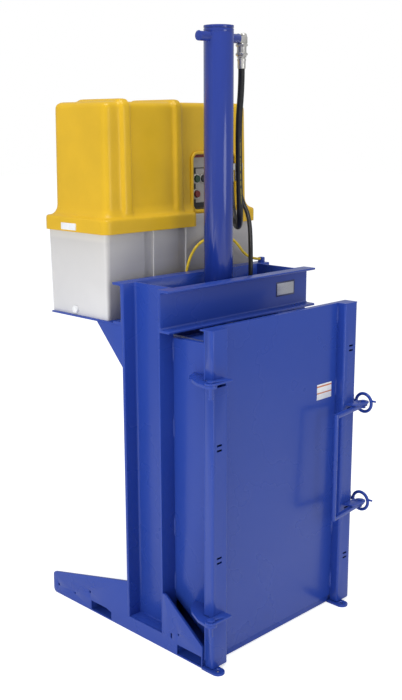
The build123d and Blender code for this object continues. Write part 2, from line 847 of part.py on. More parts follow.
valve_face_y = board_y - valve_depth
with BuildPart() as pipe_elbows:
    with Locations(((boss_reach + elbow_x + elbow_r + 6) / 2, 0, elbow_z)):
        Box(elbow_x + elbow_r + 6 - boss_reach, 2 * elbow_r + 2, 2 * elbow_r)
    with BuildSketch(Plane.XY.offset(nut_top)):
        with Locations((elbow_x, 0)):
            Circle(elbow_r)
    extrude(amount=elbow_z - nut_top)
    with BuildSketch(Plane.XY.offset(nut_top - nut_length)):
        with Locations((elbow_x, 0)):
            RegularPolygon(nut_r, 6, major_radius=False)
    extrude(amount=nut_length)
    with BuildSketch(Plane.YZ.offset(low_boss_reach)):
        with Locations((0, low_boss_z)):
            Circle(elbow_r)
    extrude(amount=low_elbow_x - low_boss_reach)
    with Locations((low_elbow_x, 0, low_boss_z)):
        Box(2 * elbow_r + 3, 2 * elbow_r + 3, 2 * elbow_r + 3)
    with BuildSketch(Plane.XY.offset(low_boss_z)):
        with Locations((low_elbow_x, 0)):
            Circle(elbow_r)
    extrude(amount=low_elbow_top - low_boss_z)
    with BuildSketch(Plane.YZ.offset(low_boss_reach)):
        with Locations((0, low_boss_z)):
            RegularPolygon(nut_r, 6, major_radius=False)
    extrude(amount=nut_length / 2)
    for port_x, port_y in zip(valve_port_x, valve_port_y):
        port_plane = Plane(origin=(port_x, valve_face_y, valve_port_z), x_dir=(1, 0, 0), z_dir=(0, -1, 0))
        with BuildSketch(port_plane):
            Circle(elbow_r)
        extrude(amount=valve_face_y - port_y)
        with Locations((port_x, port_y, valve_port_z)):
            Box(2 * elbow_r + 2, 2 * elbow_r + 2, 2 * elbow_r + 2)
        with BuildSketch(Plane.XY.offset(valve_port_z)):
            with Locations((port_x, port_y)):
                Circle(elbow_r)
        extrude(amount=-valve_port_drop)
save(pipe_elbows.part, "pipe_elbows")

# Power unit shelf behind the columns
with BuildPart() as shelf:
    with BuildSketch(Plane.XY.offset(shelf_top - shelf_t)):
        with BuildLine():
            Polyline(
                (-half_width, column_rear_y),
                (half_width, column_rear_y),
                (half_width, shelf_rear_y),
                (-half_width, shelf_rear_y),
                close=True,
            )
        make_face()
    extrude(amount=shelf_t)
save(shelf.part, "shelf")

with BuildPart() as shelf_gussets:
    for edge_x in (-half_width, half_width - gusset_t):
        with BuildSketch(Plane.YZ.offset(edge_x)):
            with BuildLine():
                Polyline(
                    (column_rear_y, shelf_top - shelf_t),
                    (column_rear_y + gusset_depth, shelf_top - shelf_t),
                    (column_rear_y, shelf_top - shelf_t - gusset_height),
                    close=True,
                )
            make_face()
        extrude(amount=gusset_t)
save(shelf_gussets.part, "shelf_gussets")

# Tub: an open box that widens upwards, with two upright grooves in its front
tub_height = tub_top - shelf_top
with BuildPart() as tub:
    with BuildSketch(Plane.XY.offset(tub_top)):
        with Locations((unit_x, unit_y)):
            RectangleRounded(tub_width, tub_depth, tub_corner_r)
    extrude(amount=-tub_height, taper=tub_draft)
    for left_x, width in zip(groove_lefts, groove_widths):
        with Locations((left_x + width / 2, tub_front_y, (tub_top + shelf_top) / 2 - 30)):
            Box(width, 2 * groove_depth + 12, tub_height, mode=Mode.SUBTRACT)
    with BuildSketch(Plane.XY.offset(tub_top)):
        with Locations((unit_x, unit_y + groove_depth)):
            inside_depth = tub_depth - 2 * tub_wall - 3 * groove_depth
            RectangleRounded(tub_width - 2 * tub_wall, inside_depth, tub_corner_r - tub_wall)
    extrude(amount=tub_wall - tub_height, taper=tub_draft, mode=Mode.SUBTRACT)
save(tub.part, "tub")

# Cover: a skirt around the rim of the tub and a tall body with raised bands
body_mid_x = (cover_x[0] + cover_x[1]) / 2
body_mid_y = (cover_y[0] + cover_y[1]) / 2
top_mid_y = body_mid_y + (cover_lean - cover_rear_lean) / 2
body_width = cover_x[1] - cover_x[0]
body_depth = cover_y[1] - cover_y[0]
top_width = body_width - 2 * cover_lean
top_depth = body_depth - cover_lean - cover_rear_lean
band_rear_y = cover_y[1] - band_rear_setback
bands = []
for left_x, width in zip(band_lefts, band_widths):
    with BuildPart() as raised:
        with BuildSketch(Plane.YZ.offset(left_x)) as band:
            with BuildLine():
                Polyline(
                    (cover_y[0] - band_proud, skirt_bottom + skirt_edge_r),
                    (cover_y[0] - band_proud + cover_lean, cover_top + band_rise),
                    (band_rear_y, cover_top + band_rise),
                    (band_rear_y + 2 * band_rise, cover_top - cover_edge_r),
                    (band_rear_y, skirt_bottom + skirt_edge_r),
                    close=True,
                )
            make_face()
            fillet(band.vertices().group_by(Axis.Y)[-1].sort_by(Axis.X)[0], cover_edge_r + 8)
        extrude(amount=width)
        fillet(raised.faces().filter_by(Axis.X).edges(), band_edge_r)
    bands.append(raised.part)
with BuildPart() as skirt:
    with BuildSketch(Plane.XY.offset(skirt_bottom)):
        with Locations((unit_x, unit_y)):
            RectangleRounded(skirt_width, skirt_depth, skirt_corner_r)
    extrude(amount=skirt_top - skirt_bottom)
    fillet(skirt.edges().group_by(Axis.Z)[-1], skirt_edge_r)
with BuildPart() as cover:
    with BuildSketch(Plane.XY.offset(skirt_top)):
        with Locations((body_mid_x, body_mid_y)):
            RectangleRounded(body_width, body_depth, cover_corner_r)
    with BuildSketch(Plane.XY.offset(cover_top)):
        with Locations((body_mid_x, top_mid_y)):
            RectangleRounded(top_width, top_depth, cover_corner_r)
    loft()
    fillet(cover.edges().group_by(Axis.Z)[-1], cover_edge_r)
    add(bands)
    add(skirt.part)
    with BuildSketch(Plane.XY.offset(skirt_bottom)):
        with Locations((unit_x, unit_y)):
            RectangleRounded(skirt_inner_width, skirt_inner_depth, skirt_corner_r - skirt_wall)
    extrude(amount=tub_top - skirt_bottom, mode=Mode.SUBTRACT)
    gap_y = tub_front_y - 20
    gap_mid_x = (skirt_gap_x[0] + skirt_gap_x[1]) / 2
    with Locations((gap_mid_x, (gap_y + cover_y[0]) / 2, (skirt_bottom + skirt_top) / 2)):
        Box(skirt_gap_x[1] - skirt_gap_x[0], cover_y[0] - gap_y, skirt_top - skirt_bottom, mode=Mode.SUBTRACT)
    inner_r = cover_corner_r - cover_wall
    with BuildSketch(Plane.XY.offset(tub_top)):
        with Locations((body_mid_x, body_mid_y)):
            RectangleRounded(body_width - 2 * cover_wall, body_depth - 2 * cover_wall, inner_r)
    with BuildSketch(Plane.XY.offset(cover_top - cover_wall)):
        with Locations((body_mid_x, top_mid_y)):
            RectangleRounded(top_width - 2 * cover_wall, top_depth - 2 * cover_wall, inner_r)
    loft(mode=Mode.SUBTRACT)
    window_plane = Plane(origin=(0, cover_y[0], 0), x_dir=(1, 0, 0), z_dir=(0, -1, 0))
    window_centre = ((window_x[0] + window_x[1]) / 2, (window_z[0] + window_z[1]) / 2)
    window_height = window_z[1] - window_z[0]
    rim_width = window_width + 2 * window_rim
    with BuildSketch(window_plane.offset(-10)):
        with Locations(window_centre):
            RectangleRounded(rim_width, window_height + 2 * window_rim, window_corner_r + window_rim)
    extrude(amount=10 + window_proud)
    with BuildSketch(window_plane.offset(-40)):
        with Locations(window_centre):
            RectangleRounded(window_width, window_height, window_corner_r)
    extrude(amount=80, mode=Mode.SUBTRACT)
save(cover.part, "cover")

with BuildPart() as unit_fittings:
    skirt_left_x = unit_x - skirt_width / 2
    hasp_y = unit_y + 27
    hasp_z = (skirt_bottom + skirt_top) / 2 - 8.5
    with Locations((skirt_left_x - 2, hasp_y, hasp_z)):
        Box(4, 88, 26)
    with Locations((skirt_left_x - 5, hasp_y, hasp_z + 7)):
        Box(2, 80, 8)
    plug_x = unit_x - tub_width / 2 + (tub_height - 37) * math.tan(math.radians(tub_draft))
    with BuildSketch(Plane.YZ.offset(plug_x - 12)):
        with Locations((unit_y + 16, shelf_top + 22)):
            RegularPolygon(plug_r, 6, major_radius=False)
    extrude(amount=12)
save(unit_fittings.part, "unit_fittings")

# Inside the power unit
with BuildPart() as mounting_board:
    with BuildSketch(Plane.XZ.offset(-board_y)):
        with Locations(((board_x[0] + board_x[1]) / 2, (shelf_top + tub_wall + board_top) / 2)):
            Rectangle(board_x[1] - board_x[0], board_top - shelf_top - tub_wall)
    extrude(amount=-board_t)
save(mounting_board.part, "mounting_board")

panel_mid_x = (panel_x[0] + panel_x[1]) / 2
panel_mid_z = (panel_z[0] + panel_z[1]) / 2
panel_face_y = board_y - panel_depth
with BuildPart() as control_panel:
    with Locations((panel_mid_x, board_y - panel_depth / 2, panel_mid_z)):
        Box(panel_x[1] - panel_x[0], panel_depth, panel_z[1] - panel_z[0])
    fillet(control_panel.edges().filter_by(Axis.Y), 6)
    face_plane = Plane(origin=(0, panel_face_y, 0), x_dir=(1, 0, 0), z_dir=(0, -1, 0))
    with BuildSketch(face_plane):
        with Locations([(button_x, level) for level in button_z]):
            Circle(button_stem_r + pin_clearance)
    extrude(amount=-26, mode=Mode.SUBTRACT)
save(control_panel.part, "control_panel")

for label, level in zip(("start_button", "stop_button"), button_z):
    with BuildPart() as button:
        with BuildSketch(face_plane.offset(button_travel + 1)):
            with Locations((button_x, level)):
                Circle(button_r)
        extrude(amount=8)
        fillet(button.edges().group_by(Axis.Y)[0], 2.5)
        with BuildSketch(face_plane.offset(-20)):
            with Locations((button_x, level)):
                Circle(button_stem_r)
        extrude(amount=20 + button_travel + 1)
    save(button.part, label)

tank_floor = shelf_top + tub_wall
tank_top = tank_floor + tank_height
with BuildPart() as tank:
    with Locations((tank_mid_x, unit_y, tank_floor + tank_height / 2)):
        Box(tank_width, tank_depth, tank_height)
    fillet(tank.edges().filter_by(Axis.Z), 20)
    offset(amount=-tank_wall, openings=tank.faces().sort_by(Axis.Z)[-1])
    with BuildSketch(Plane.XY.offset(tank_top)):
        with Locations((tank_mid_x, unit_y)):
            RectangleRounded(tank_width, tank_depth, 20)
    extrude(amount=8)
save(tank.part, "tank")

with BuildPart() as pump:
    with BuildSketch(Plane.XY.offset(tank_top - pump_height)):
        with Locations((tank_mid_x, unit_y)):
            Circle(pump_r)
    extrude(amount=pump_height)
    with BuildSketch(Plane.XY.offset(tank_top - pump_height - 40)):
        with Locations((tank_mid_x, unit_y)):
            Circle(pump_r * 0.6)
    extrude(amount=40)
save(pump.part, "pump")

with BuildPart() as motor:
    with BuildSketch(Plane.XY.offset(tank_top + 8)):
        with Locations((tank_mid_x, unit_y)):
            Circle(motor_r)
    extrude(amount=motor_height)
    fillet(motor.edges().group_by(Axis.Z)[-1], 14)
    with Locations((tank_mid_x + motor_r, unit_y, tank_top + 8 + motor_height / 2)):
        Box(50, 80, 70)
save(motor.part, "motor")

valve_mid_z = (valve_z[0] + valve_z[1]) / 2
with BuildPart() as valve_block:
    with Locations(((valve_x[0] + valve_x[1]) / 2, board_y - valve_depth / 2, valve_mid_z)):
        Box(valve_x[1] - valve_x[0], valve_depth, valve_z[1] - valve_z[0])
    chamfer(valve_block.edges().filter_by(Axis.Y), 4)
save(valve_block.part, "valve_block")

# Small fittings of the wiring
tub_front_at_gland = tub_front_y + (tub_top - cord_gland_z - cord_gland_r) * math.tan(math.radians(tub_draft))
shelf_gland_top = shelf_top + 18
clip_z = beam_top + 13
with BuildPart() as cord_fittings:
    for foot_x, out in zip(cord_gland_x, (1, -1)):
        with Locations((foot_x + out * 14, (cord_y - cord_gland_r + tub_front_at_gland) / 2, cord_gland_z)):
            Box(28, tub_front_at_gland - cord_y + cord_gland_r, 2 * cord_gland_r)
    with BuildSketch(Plane.XY.offset(shelf_top)):
        with Locations((left_cord_foot_x, cord_y)):
            Circle(cord_gland_r)
    extrude(amount=shelf_gland_top - shelf_top)
save(cord_fittings.part, "cord_fittings")

with BuildPart() as cord_clip:
    with Locations(((clip_x[0] + clip_x[1]) / 2, clip_y, beam_top + clip_height / 2)):
        Box(clip_x[1] - clip_x[0], 24, clip_height)
    fillet(cord_clip.edges().filter_by(Axis.X).group_by(Axis.Z)[-1], 4)
save(cord_clip.part, "cord_clip")

with BuildPart() as nameplate:
    with Locations((plate_x, column_front_y - beam_web_t - 0.5, plate_z)):
        Box(nameplate_width, 1, nameplate_height)
save(nameplate.part, "nameplate")

# Hoses and cords, each a route of straight runs with an arc at every corner
lower_z = low_elbow_top + ferrule_length
ferrule_drop = valve_port_drop + ferrule_length
routes = {
    "hose_upper": (upper_hose_d, 5, [
        (elbow_x, 0, ferrule_bottom),
        (elbow_x, 0, ferrule_bottom - 70),
        (92, -16, 1950),
        (76, -34, 1780),
        (77, -38, 1608),
        (124, 20, 1533),
        (189, 101, 1533),
        (valve_port_x[0], valve_port_y[0], 1608),
        (valve_port_x[0], valve_port_y[0], valve_port_z - ferrule_drop),
    ]),
    "hose_lower": (lower_hose_d, 5, [
        (valve_port_x[1], valve_port_y[1], valve_port_z - ferrule_drop),
        (valve_port_x[1], valve_port_y[1], 1624),
        (258, 86, 1540),
        (low_elbow_x, 0, lower_z + 95),
        (low_elbow_x, 0, lower_z),
    ]),
    "cord_left": (cord_d, 3, [
        (cord_gland_x[0], cord_y, cord_gland_z),
        (62, cord_y, cord_gland_z),
        (left_cord_foot_x, cord_y, 1380),
        (left_cord_foot_x, cord_y, shelf_gland_top),
    ]),
    "cord_right": (cord_d, 3, [
        (cord_gland_x[1], cord_y, cord_gland_z),
        (274, cord_y, cord_gland_z),
        (310, clip_y, clip_z),
        (clip_x[0], clip_y, clip_z),
    ]),
}
for label, (diameter, least, points) in routes.items():
    route = [Vector(*point) for point in points]
    radii = corner_radii(route)
    with BuildPart() as line:
        with BuildLine() as path:
            FilletPolyline(*route, radius=radii)
        with BuildSketch(Plane(origin=path.line @ 0, z_dir=path.line % 0)):
            Circle(diameter / 2)
        sweep()
    length = sum(edge.length for edge in path.edges())
    share = line.part.volume / (math.pi * diameter**2 / 4 * length)
    print(label, round(length), [round(r / diameter, 1) for r in radii], least, round(share, 4))
    save(line.part, label)
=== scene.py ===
import json
import math
import random

import bmesh
import bpy
from mathutils import Matrix, Vector


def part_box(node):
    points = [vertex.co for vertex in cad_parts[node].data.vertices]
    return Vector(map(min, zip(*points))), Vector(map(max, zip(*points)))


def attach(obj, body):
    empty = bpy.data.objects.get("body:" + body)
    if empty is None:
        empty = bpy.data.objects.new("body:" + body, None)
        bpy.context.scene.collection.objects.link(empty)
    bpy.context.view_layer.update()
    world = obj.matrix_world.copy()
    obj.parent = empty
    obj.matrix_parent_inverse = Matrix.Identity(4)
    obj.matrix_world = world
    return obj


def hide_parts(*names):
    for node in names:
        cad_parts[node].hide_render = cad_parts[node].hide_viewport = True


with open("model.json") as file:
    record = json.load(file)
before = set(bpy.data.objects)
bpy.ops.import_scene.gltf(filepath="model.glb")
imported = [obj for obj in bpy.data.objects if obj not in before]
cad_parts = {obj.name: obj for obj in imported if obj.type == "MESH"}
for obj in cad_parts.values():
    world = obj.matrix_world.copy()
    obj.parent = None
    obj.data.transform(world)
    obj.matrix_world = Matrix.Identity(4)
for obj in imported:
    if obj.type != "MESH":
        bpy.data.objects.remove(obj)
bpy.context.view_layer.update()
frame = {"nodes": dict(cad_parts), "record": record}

NODES = frame["nodes"]
SLOTS = {row["node"]: row["material_slot"] for row in frame["record"]["subparts"]}
scene = bpy.context.scene
scene.view_settings.view_transform = "Standard"


# Camera at the photograph's viewing angle
def place_camera(position, azimuth, elevation, roll, lens):
    """Camera whose azimuth 0 looks along +Y, angles in degrees."""
    a, e = math.radians(azimuth), math.radians(elevation)
    back = Vector((math.sin(a) * math.cos(e), -math.cos(a) * math.cos(e), math.sin(e)))
    right = Vector((math.cos(a), math.sin(a), 0))
    up = back.cross(right)
    turn = Matrix((right, up, back)).transposed() @ Matrix.Rotation(math.radians(roll), 3, "Z")
    data = bpy.data.cameras.new("camera")
    data.sensor_fit = "VERTICAL"
    data.sensor_height = 36
    data.lens = lens
    data.clip_end = 100
    camera = bpy.data.objects.new("camera", data)
    scene.collection.objects.link(camera)
    camera.matrix_world = Matrix.Translation(position) @ turn.to_4x4()
    scene.camera = camera


place_camera(Vector((-2.732, -2.627, 1.9416)), azimuth=-45.10, elevation=12.82, roll=-0.16, lens=51.14)


# Shader helpers
class Nodes:
    """A material's node tree, with short calls for what is used here."""

    def __init__(self, name):
        self.material = bpy.data.materials.new(name)
        self.material.use_nodes = True
        self.tree = self.material.node_tree
        self.shader = self.tree.nodes["Principled BSDF"]
        self.coords = self.tree.nodes.new("ShaderNodeTexCoord").outputs["Object"]

    def set(self, **values):
        for key, value in values.items():
            self.shader.inputs[key.replace("_", " ")].default_value = value

    def link(self, source, target):
        self.tree.links.new(source, target)

    def feed(self, node, *pairs):
        """Link or set a node's inputs, each pair an input's number and what goes in."""
        for target, value in pairs:
            if isinstance(value, bpy.types.NodeSocket):
                self.link(value, node.inputs[target])
            else:
                node.inputs[target].default_value = value

    def noise(self, scale, detail=3.0, stretch=None, roughness=0.5):
        node = self.tree.nodes.new("ShaderNodeTexNoise")
        node.inputs["Scale"].default_value = scale
        node.inputs["Detail"].default_value = detail
        node.inputs["Roughness"].default_value = roughness
        source = self.coords
        if stretch:
            mapping = self.tree.nodes.new("ShaderNodeMapping")
            mapping.inputs["Scale"].default_value = stretch
            self.link(source, mapping.inputs["Vector"])
            source = mapping.outputs["Vector"]
        self.link(source, node.inputs["Vector"])
        return node.outputs["Fac"]

    def ramp(self, source, low, high, start=0.0, end=1.0):
        """From start to end as the source goes from low to high, and level outside them."""
        node = self.tree.nodes.new("ShaderNodeMapRange")
        node.inputs["From Min"].default_value = low
        node.inputs["From Max"].default_value = high
        node.inputs["To Min"].default_value = start
        node.inputs["To Max"].default_value = end
        self.link(source, node.inputs["Value"])
        return node.outputs["Result"]

    def mix(self, factor, first, second):
        node = self.tree.nodes.new("ShaderNodeMix")
        node.data_type = "RGBA"
        self.feed(node, (0, factor), (6, first), (7, second))
        return node.outputs[2]

    def math(self, operation, first, second=0.0):
        node = self.tree.nodes.new("ShaderNodeMath")
        node.operation = operation
        self.feed(node, (0, first), (1, second))
        return node.outputs[0]

    def times(self, first, second):
        return self.math("MULTIPLY", first, second)

    def dot(self, first, second):
        node = self.tree.nodes.new("ShaderNodeVectorMath")
        node.operation = "DOT_PRODUCT"
        self.feed(node, (0, first), (1, second))
        return node.outputs["Value"]

    def axis(self, name, source=None):
        """One coordinate of the place, or of another vector."""
        node = self.tree.nodes.new("ShaderNodeSeparateXYZ")
        self.link(source or self.coords, node.inputs[0])
        return node.outputs[name]

    def normal(self):
        return self.tree.nodes.new("ShaderNodeNewGeometry").outputs["Normal"]

    def edges(self, radius):
        """1 on sharp edges and 0 on flat places."""
        bevel = self.tree.nodes.new("ShaderNodeBevel")
        bevel.samples = 4
        bevel.inputs["Radius"].default_value = radius
        return self.ramp(self.dot(bevel.outputs["Normal"], self.normal()), 0.97, 0.7)

    def bump(self, height, distance, strength=1.0, after=None):
        node = self.tree.nodes.new("ShaderNodeBump")
        node.inputs["Distance"].default_value = distance
        node.inputs["Strength"].default_value = strength
        self.link(height, node.inputs["Height"])
        if after:
            self.link(after, node.inputs["Normal"])
        self.link(node.outputs["Normal"], self.shader.inputs["Normal"])
        return node.outputs["Normal"]

    def colour(self, source):
        self.link(source, self.shader.inputs["Base Color"])

    def rough(self, pattern, low, high, smooth, dull):
        """Roughness from smooth to dull as a pattern goes from low to high."""
        self.link(self.ramp(pattern, low, high, smooth, dull), self.shader.inputs["Roughness"])


def rgb(red, green, blue):
    """Screen colour from 0 to 255 as linear light."""
    def linear(value):
        value /= 255
        return value / 12.92 if value <= 0.04045 else ((value + 0.055) / 1.055) ** 2.4
    return (linear(red), linear(green), linear(blue), 1.0)


def toned(colour, factor, lift=0.0):
    """A colour made darker or lighter."""
    return tuple(min(1, c * factor + lift) for c in colour[:3]) + (1.0,)


# Materials
# The blue's edge tone is partly worn paint and partly painted highlight; the barrel's darker blue is
# painted shade.
BLUE, BARREL_SHADED_BLUE, EDGE_WEAR_AND_HIGHLIGHT_BLUE = rgb(40, 72, 168), rgb(30, 56, 148), rgb(96, 120, 190)
DUST = rgb(120, 128, 165)
TUB_FADE_Z = (1.56, 1.24)
TUB_LEVEL_Z = (1.522, 1.510)
# Along X, the painted shade on the tub's front faces grows from here to there
TUB_FRONT_SHADE_X = (-0.42, 0.1)
HOSE_LINE_SIDE = (-0.344, -0.939, 0.0)
HOSE_LINE_Z, HOSE_LINE_FADE = (1.58, 1.9), 0.02
LABEL_BANDS = ((0.80, 0.90), (0.38, 0.46))
NAMEPLATE_BORDER = 0.006


def enamel(name, colour, edge_tone, rough=0.26, coat=0.12):
    """Sprayed enamel: faint orange peel, slight clouding, and an edge tone on sharp edges that is partly
    worn paint and partly painted highlight.
    """
    m = Nodes(name)
    base = m.mix(m.ramp(m.noise(1.7, 2), 0.1, 0.9), toned(colour, 0.9), colour)
    # Sharp edges take the edge tone (paler for the blue): partly thin worn paint, partly painted
    # highlight.
    worn_and_lit_edges = m.times(m.edges(0.0015), m.ramp(m.noise(70, 5), 0.5, 0.66, 0.0, 0.6))
    base = m.mix(worn_and_lit_edges, base, edge_tone)
    dust = m.times(m.ramp(m.noise(6, 6, roughness=0.7), 0.15, 0.95), 0.05)
    m.colour(m.mix(dust, base, DUST))
    m.rough(m.noise(4, 3), 0.0, 1.0, rough - 0.05, rough + 0.09)
    m.set(Coat_Weight=coat, Coat_Roughness=0.08, Specular_IOR_Level=0.42)
    m.bump(m.noise(420, 2), 0.0005, 0.08)
    return m.material


def metal(name, colour, rough, stretch=None):
    """Plated or machined metal with fine marks and stains."""
    m = Nodes(name)
    stain = m.ramp(m.noise(30, 5), 0.4, 0.7)
    m.colour(m.mix(stain, colour, toned(colour, 0.72)))
    m.set(Metallic=1.0)
    marks = m.noise(220, 4, stretch)
    m.rough(marks, 0.3, 0.7, rough - 0.08, rough + 0.12)
    m.bump(marks, 0.0003, 0.15)
    return m.material


def plastic(name, colour, rough, specular=0.5):
    """Moulded plastic with a fine grain, faint flow marks and paler edges."""
    m = Nodes(name)
    base = m.mix(m.ramp(m.noise(5, 5), 0.3, 0.7), toned(colour, 0.88), colour)
    scuff = m.times(m.edges(0.003), m.ramp(m.noise(60, 4), 0.45, 0.65, 0.0, 0.5))
    m.colour(m.mix(scuff, base, toned(colour, 1.25, 0.03)))
    m.rough(m.noise(12, 4), 0.3, 0.7, rough - 0.05, rough + 0.08)
    m.set(Specular_IOR_Level=specular)
    waves = m.bump(m.noise(7, 2), 0.004, 0.25)
    m.bump(m.noise(700, 3), 0.0004, 0.2, after=waves)
    return m.material


def tub_plastic():
    """Milky moulded plastic, paler towards the bottom, with painted shade on the faces that look to the
    front, strongest low down and to the right.
    """
    m = Nodes("tub_plastic")
    drop = m.ramp(m.axis("Z"), *TUB_FADE_Z)
    base = m.mix(drop, rgb(222, 219, 213), rgb(243, 242, 242))
    cloud = m.ramp(m.noise(3.2, 4), 0.3, 0.7)
    base = m.mix(m.times(cloud, 0.35), base, rgb(206, 205, 206))
    # Painted shade: faces that look to the front are darkened towards a dark brown-grey, more to the
    # right and low down, broken up by streaks.
    front = m.ramp(m.axis("Y", m.normal()), -0.35, -0.9)
    painted_front_shade = m.times(front, m.ramp(m.axis("X"), *TUB_FRONT_SHADE_X, 0.5, 0.9))
    painted_front_shade = m.times(painted_front_shade, m.math("ADD", m.times(drop, 0.62), 0.42))
    streaks = m.ramp(m.noise(5, 4, (0.25, 1, 3.0)), 0.3, 0.7, 0.85, 1.0)
    base = m.mix(m.times(painted_front_shade, streaks), base, rgb(84, 71, 66))
    level = m.times(m.ramp(m.axis("Z"), *TUB_LEVEL_Z), m.ramp(m.noise(2, 2), 0.3, 0.6, 0.12, 0.2))
    m.colour(m.mix(level, base, rgb(160, 160, 168)))
    m.rough(m.noise(16, 4), 0.3, 0.7, 0.3, 0.46)
    m.set(Subsurface_Weight=0.25, Subsurface_Scale=0.015, Subsurface_Radius=(1.0, 1.0, 1.0))
    waves = m.bump(m.noise(6, 2), 0.004, 0.3)
    m.bump(m.noise(500, 3), 0.0004, 0.15, after=waves)
    return m.material


def cord_rubber():
    """Yellow cord sheath with faint marks."""
    m = Nodes("cord_skin")
    colour = rgb(206, 176, 40)
    m.colour(m.mix(m.ramp(m.noise(40, 4), 0.35, 0.7), colour, toned(colour, 1.5, 0.004)))
    m.rough(m.noise(70, 3), 0.3, 0.7, 0.37, 0.55)
    m.bump(m.noise(600, 3), 0.0004, 0.25)
    return m.material


def hose_rubber():
    """Black hose cover with a thin broken lay line along one side and no lettering."""
    m = Nodes("hose_skin")
    base = m.mix(m.ramp(m.noise(40, 4), 0.35, 0.7), rgb(22, 22, 23), rgb(34, 34, 35))
    line = m.ramp(m.dot(m.normal(), HOSE_LINE_SIDE), 0.975, 0.99)
    low, high = HOSE_LINE_Z
    above = m.ramp(m.axis("Z"), low, low + HOSE_LINE_FADE)
    below = m.ramp(m.axis("Z"), high, high - HOSE_LINE_FADE)
    line = m.times(line, m.times(above, below))
    broken = m.ramp(m.noise(1, 2, (0.1, 0.1, 70)), 0.42, 0.5)
    line = m.times(line, m.times(broken, 0.6))
    m.colour(m.mix(line, base, rgb(150, 140, 40)))
    m.rough(m.noise(70, 3), 0.3, 0.7, 0.36, 0.5)
    m.bump(m.noise(600, 3), 0.0004, 0.25)
    return m.material


def label_material():
    """A plain white label with two thin coloured bands and no lettering."""
    m = Nodes("label_face")
    low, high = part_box("door_label")
    share = m.ramp(m.axis("Z"), low[2], high[2])
    bands = []
    for start, end in LABEL_BANDS:
        bands.append(m.times(m.math("GREATER_THAN", share, start), m.math("LESS_THAN", share, end)))
    paper = m.mix(m.ramp(m.noise(60, 4), 0.3, 0.7), rgb(236, 237, 240), rgb(246, 247, 248))
    m.colour(m.mix(m.math("ADD", *bands), paper, rgb(206, 126, 88)))
    m.rough(m.noise(30, 3), 0.3, 0.7, 0.3, 0.42)
    m.bump(m.noise(180, 3), 0.0003, 0.2)
    return m.material


def nameplate_material():
    """Bare brushed plate with a darker printed border and no lettering."""
    m = Nodes("nameplate_face")
    low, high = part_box("nameplate")
    sides = []
    for axis, start, end in (("X", low[0], high[0]), ("Z", low[2], high[2])):
        near = m.math("LESS_THAN", m.axis(axis), start + NAMEPLATE_BORDER)
        far = m.math("GREATER_THAN", m.axis(axis), end - NAMEPLATE_BORDER)
        sides.append(m.math("ADD", near, far))
    marks = m.noise(160, 4, (1, 1, 12))
    face = m.mix(m.ramp(marks, 0.3, 0.7), (0.46, 0.46, 0.48, 1), (0.68, 0.68, 0.7, 1))
    m.colour(m.mix(m.math("MAXIMUM", *sides), face, (0.1, 0.11, 0.2, 1)))
    m.set(Metallic=0.8)
    m.rough(marks, 0.3, 0.7, 0.3, 0.5)
    m.bump(marks, 0.0002, 0.1)
    return m.material


materials = {
    "blue_paint": enamel("blue_enamel", BLUE, EDGE_WEAR_AND_HIGHLIGHT_BLUE),
    "grey_paint": enamel("grey_enamel", rgb(176, 170, 160), rgb(120, 116, 108)),
    "steel": metal("machined_steel", (0.5, 0.51, 0.53, 1), 0.38),
    "zinc": metal("zinc_plate", (0.74, 0.72, 0.67, 1), 0.4),
    "chrome": metal("hard_chrome", (0.75, 0.76, 0.78, 1), 0.12, stretch=(1, 1, 0.05)),
    "yellow_plastic": plastic("yellow_moulding", rgb(232, 186, 34), 0.34, specular=0.42),
    "tub_plastic": tub_plastic(),
    "hose_rubber": hose_rubber(),
    "cord_rubber": cord_rubber(),
    "label": label_material(),
    "black_plastic": plastic("black_moulding", rgb(36, 36, 37), 0.5),
    "green_plastic": plastic("green_moulding", rgb(40, 74, 50), 0.3),
    "red_plastic": plastic("red_moulding", rgb(120, 32, 28), 0.3),
}


# Cords come first: routes chosen close to those of the solids, in metres
def tube(name, points, slot, diameter):
    """A cord along its points that stands for the solid of its name."""
    curve = bpy.data.curves.new(name, "CURVE")
    curve.dimensions = "3D"
    curve.bevel_depth = diameter / 2
    curve.bevel_resolution = 8
    curve.resolution_u = 16
    curve.use_fill_caps = True
    spline = curve.splines.new("NURBS")
    spline.points.add(len(points) - 1)
    for point, place in zip(spline.points, points):
        point.co = (*place, 1.0)
    spline.order_u = 3
    spline.use_endpoint_u = True
    line = bpy.data.objects.new(name + "_line", curve)
    scene.collection.objects.link(line)
    curve.materials.append(materials[slot])
    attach(line, "frame")
    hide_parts(name)


HOSE_UPPER = [
    (0.124, 0, 2.143), (0.124, 0, 2.073), (0.092, -0.016, 1.95),
    (0.076, -0.034, 1.78), (0.080, -0.038, 1.615), (0.138, 0.020, 1.545),
    (0.204, 0.101, 1.545), (0.244, 0.160, 1.612), (0.236, 0.160, 1.714),
]
HOSE_LOWER = [
    (0.290, 0.166, 1.714), (0.298, 0.160, 1.640), (0.284, 0.098, 1.575),
    (0.186, 0, 1.45), (0.184, 0, 1.345),
]
CORD_LEFT = [(0.132, 0.168, 1.492), (0.062, 0.168, 1.492), (-0.020, 0.168, 1.38), (-0.020, 0.168, 1.2416)]
CORD_RIGHT = [(0.212, 0.168, 1.492), (0.262, 0.165, 1.485), (0.318, 0.138, 1.392), (0.384, 0.127, 1.389)]
tube("hose_upper", HOSE_UPPER, "hose_rubber", diameter=0.025)
tube("hose_lower", HOSE_LOWER, "hose_rubber", diameter=0.018)
tube("cord_left", CORD_LEFT, "cord_rubber", diameter=0.011)
tube("cord_right", CORD_RIGHT, "cord_rubber", diameter=0.011)


# Carried-over nodes keep their shape and get their material
SHARP_ANGLE = math.radians(38)
WELD_REACH = 0.00002
NODE_ROUNDING = 0.0008
SOFT_NODES = {"tub": 0.004, "platen": 0.0015, "motor": 0.001}
CORDS = ("hose_upper", "hose_lower", "cord_left", "cord_right")
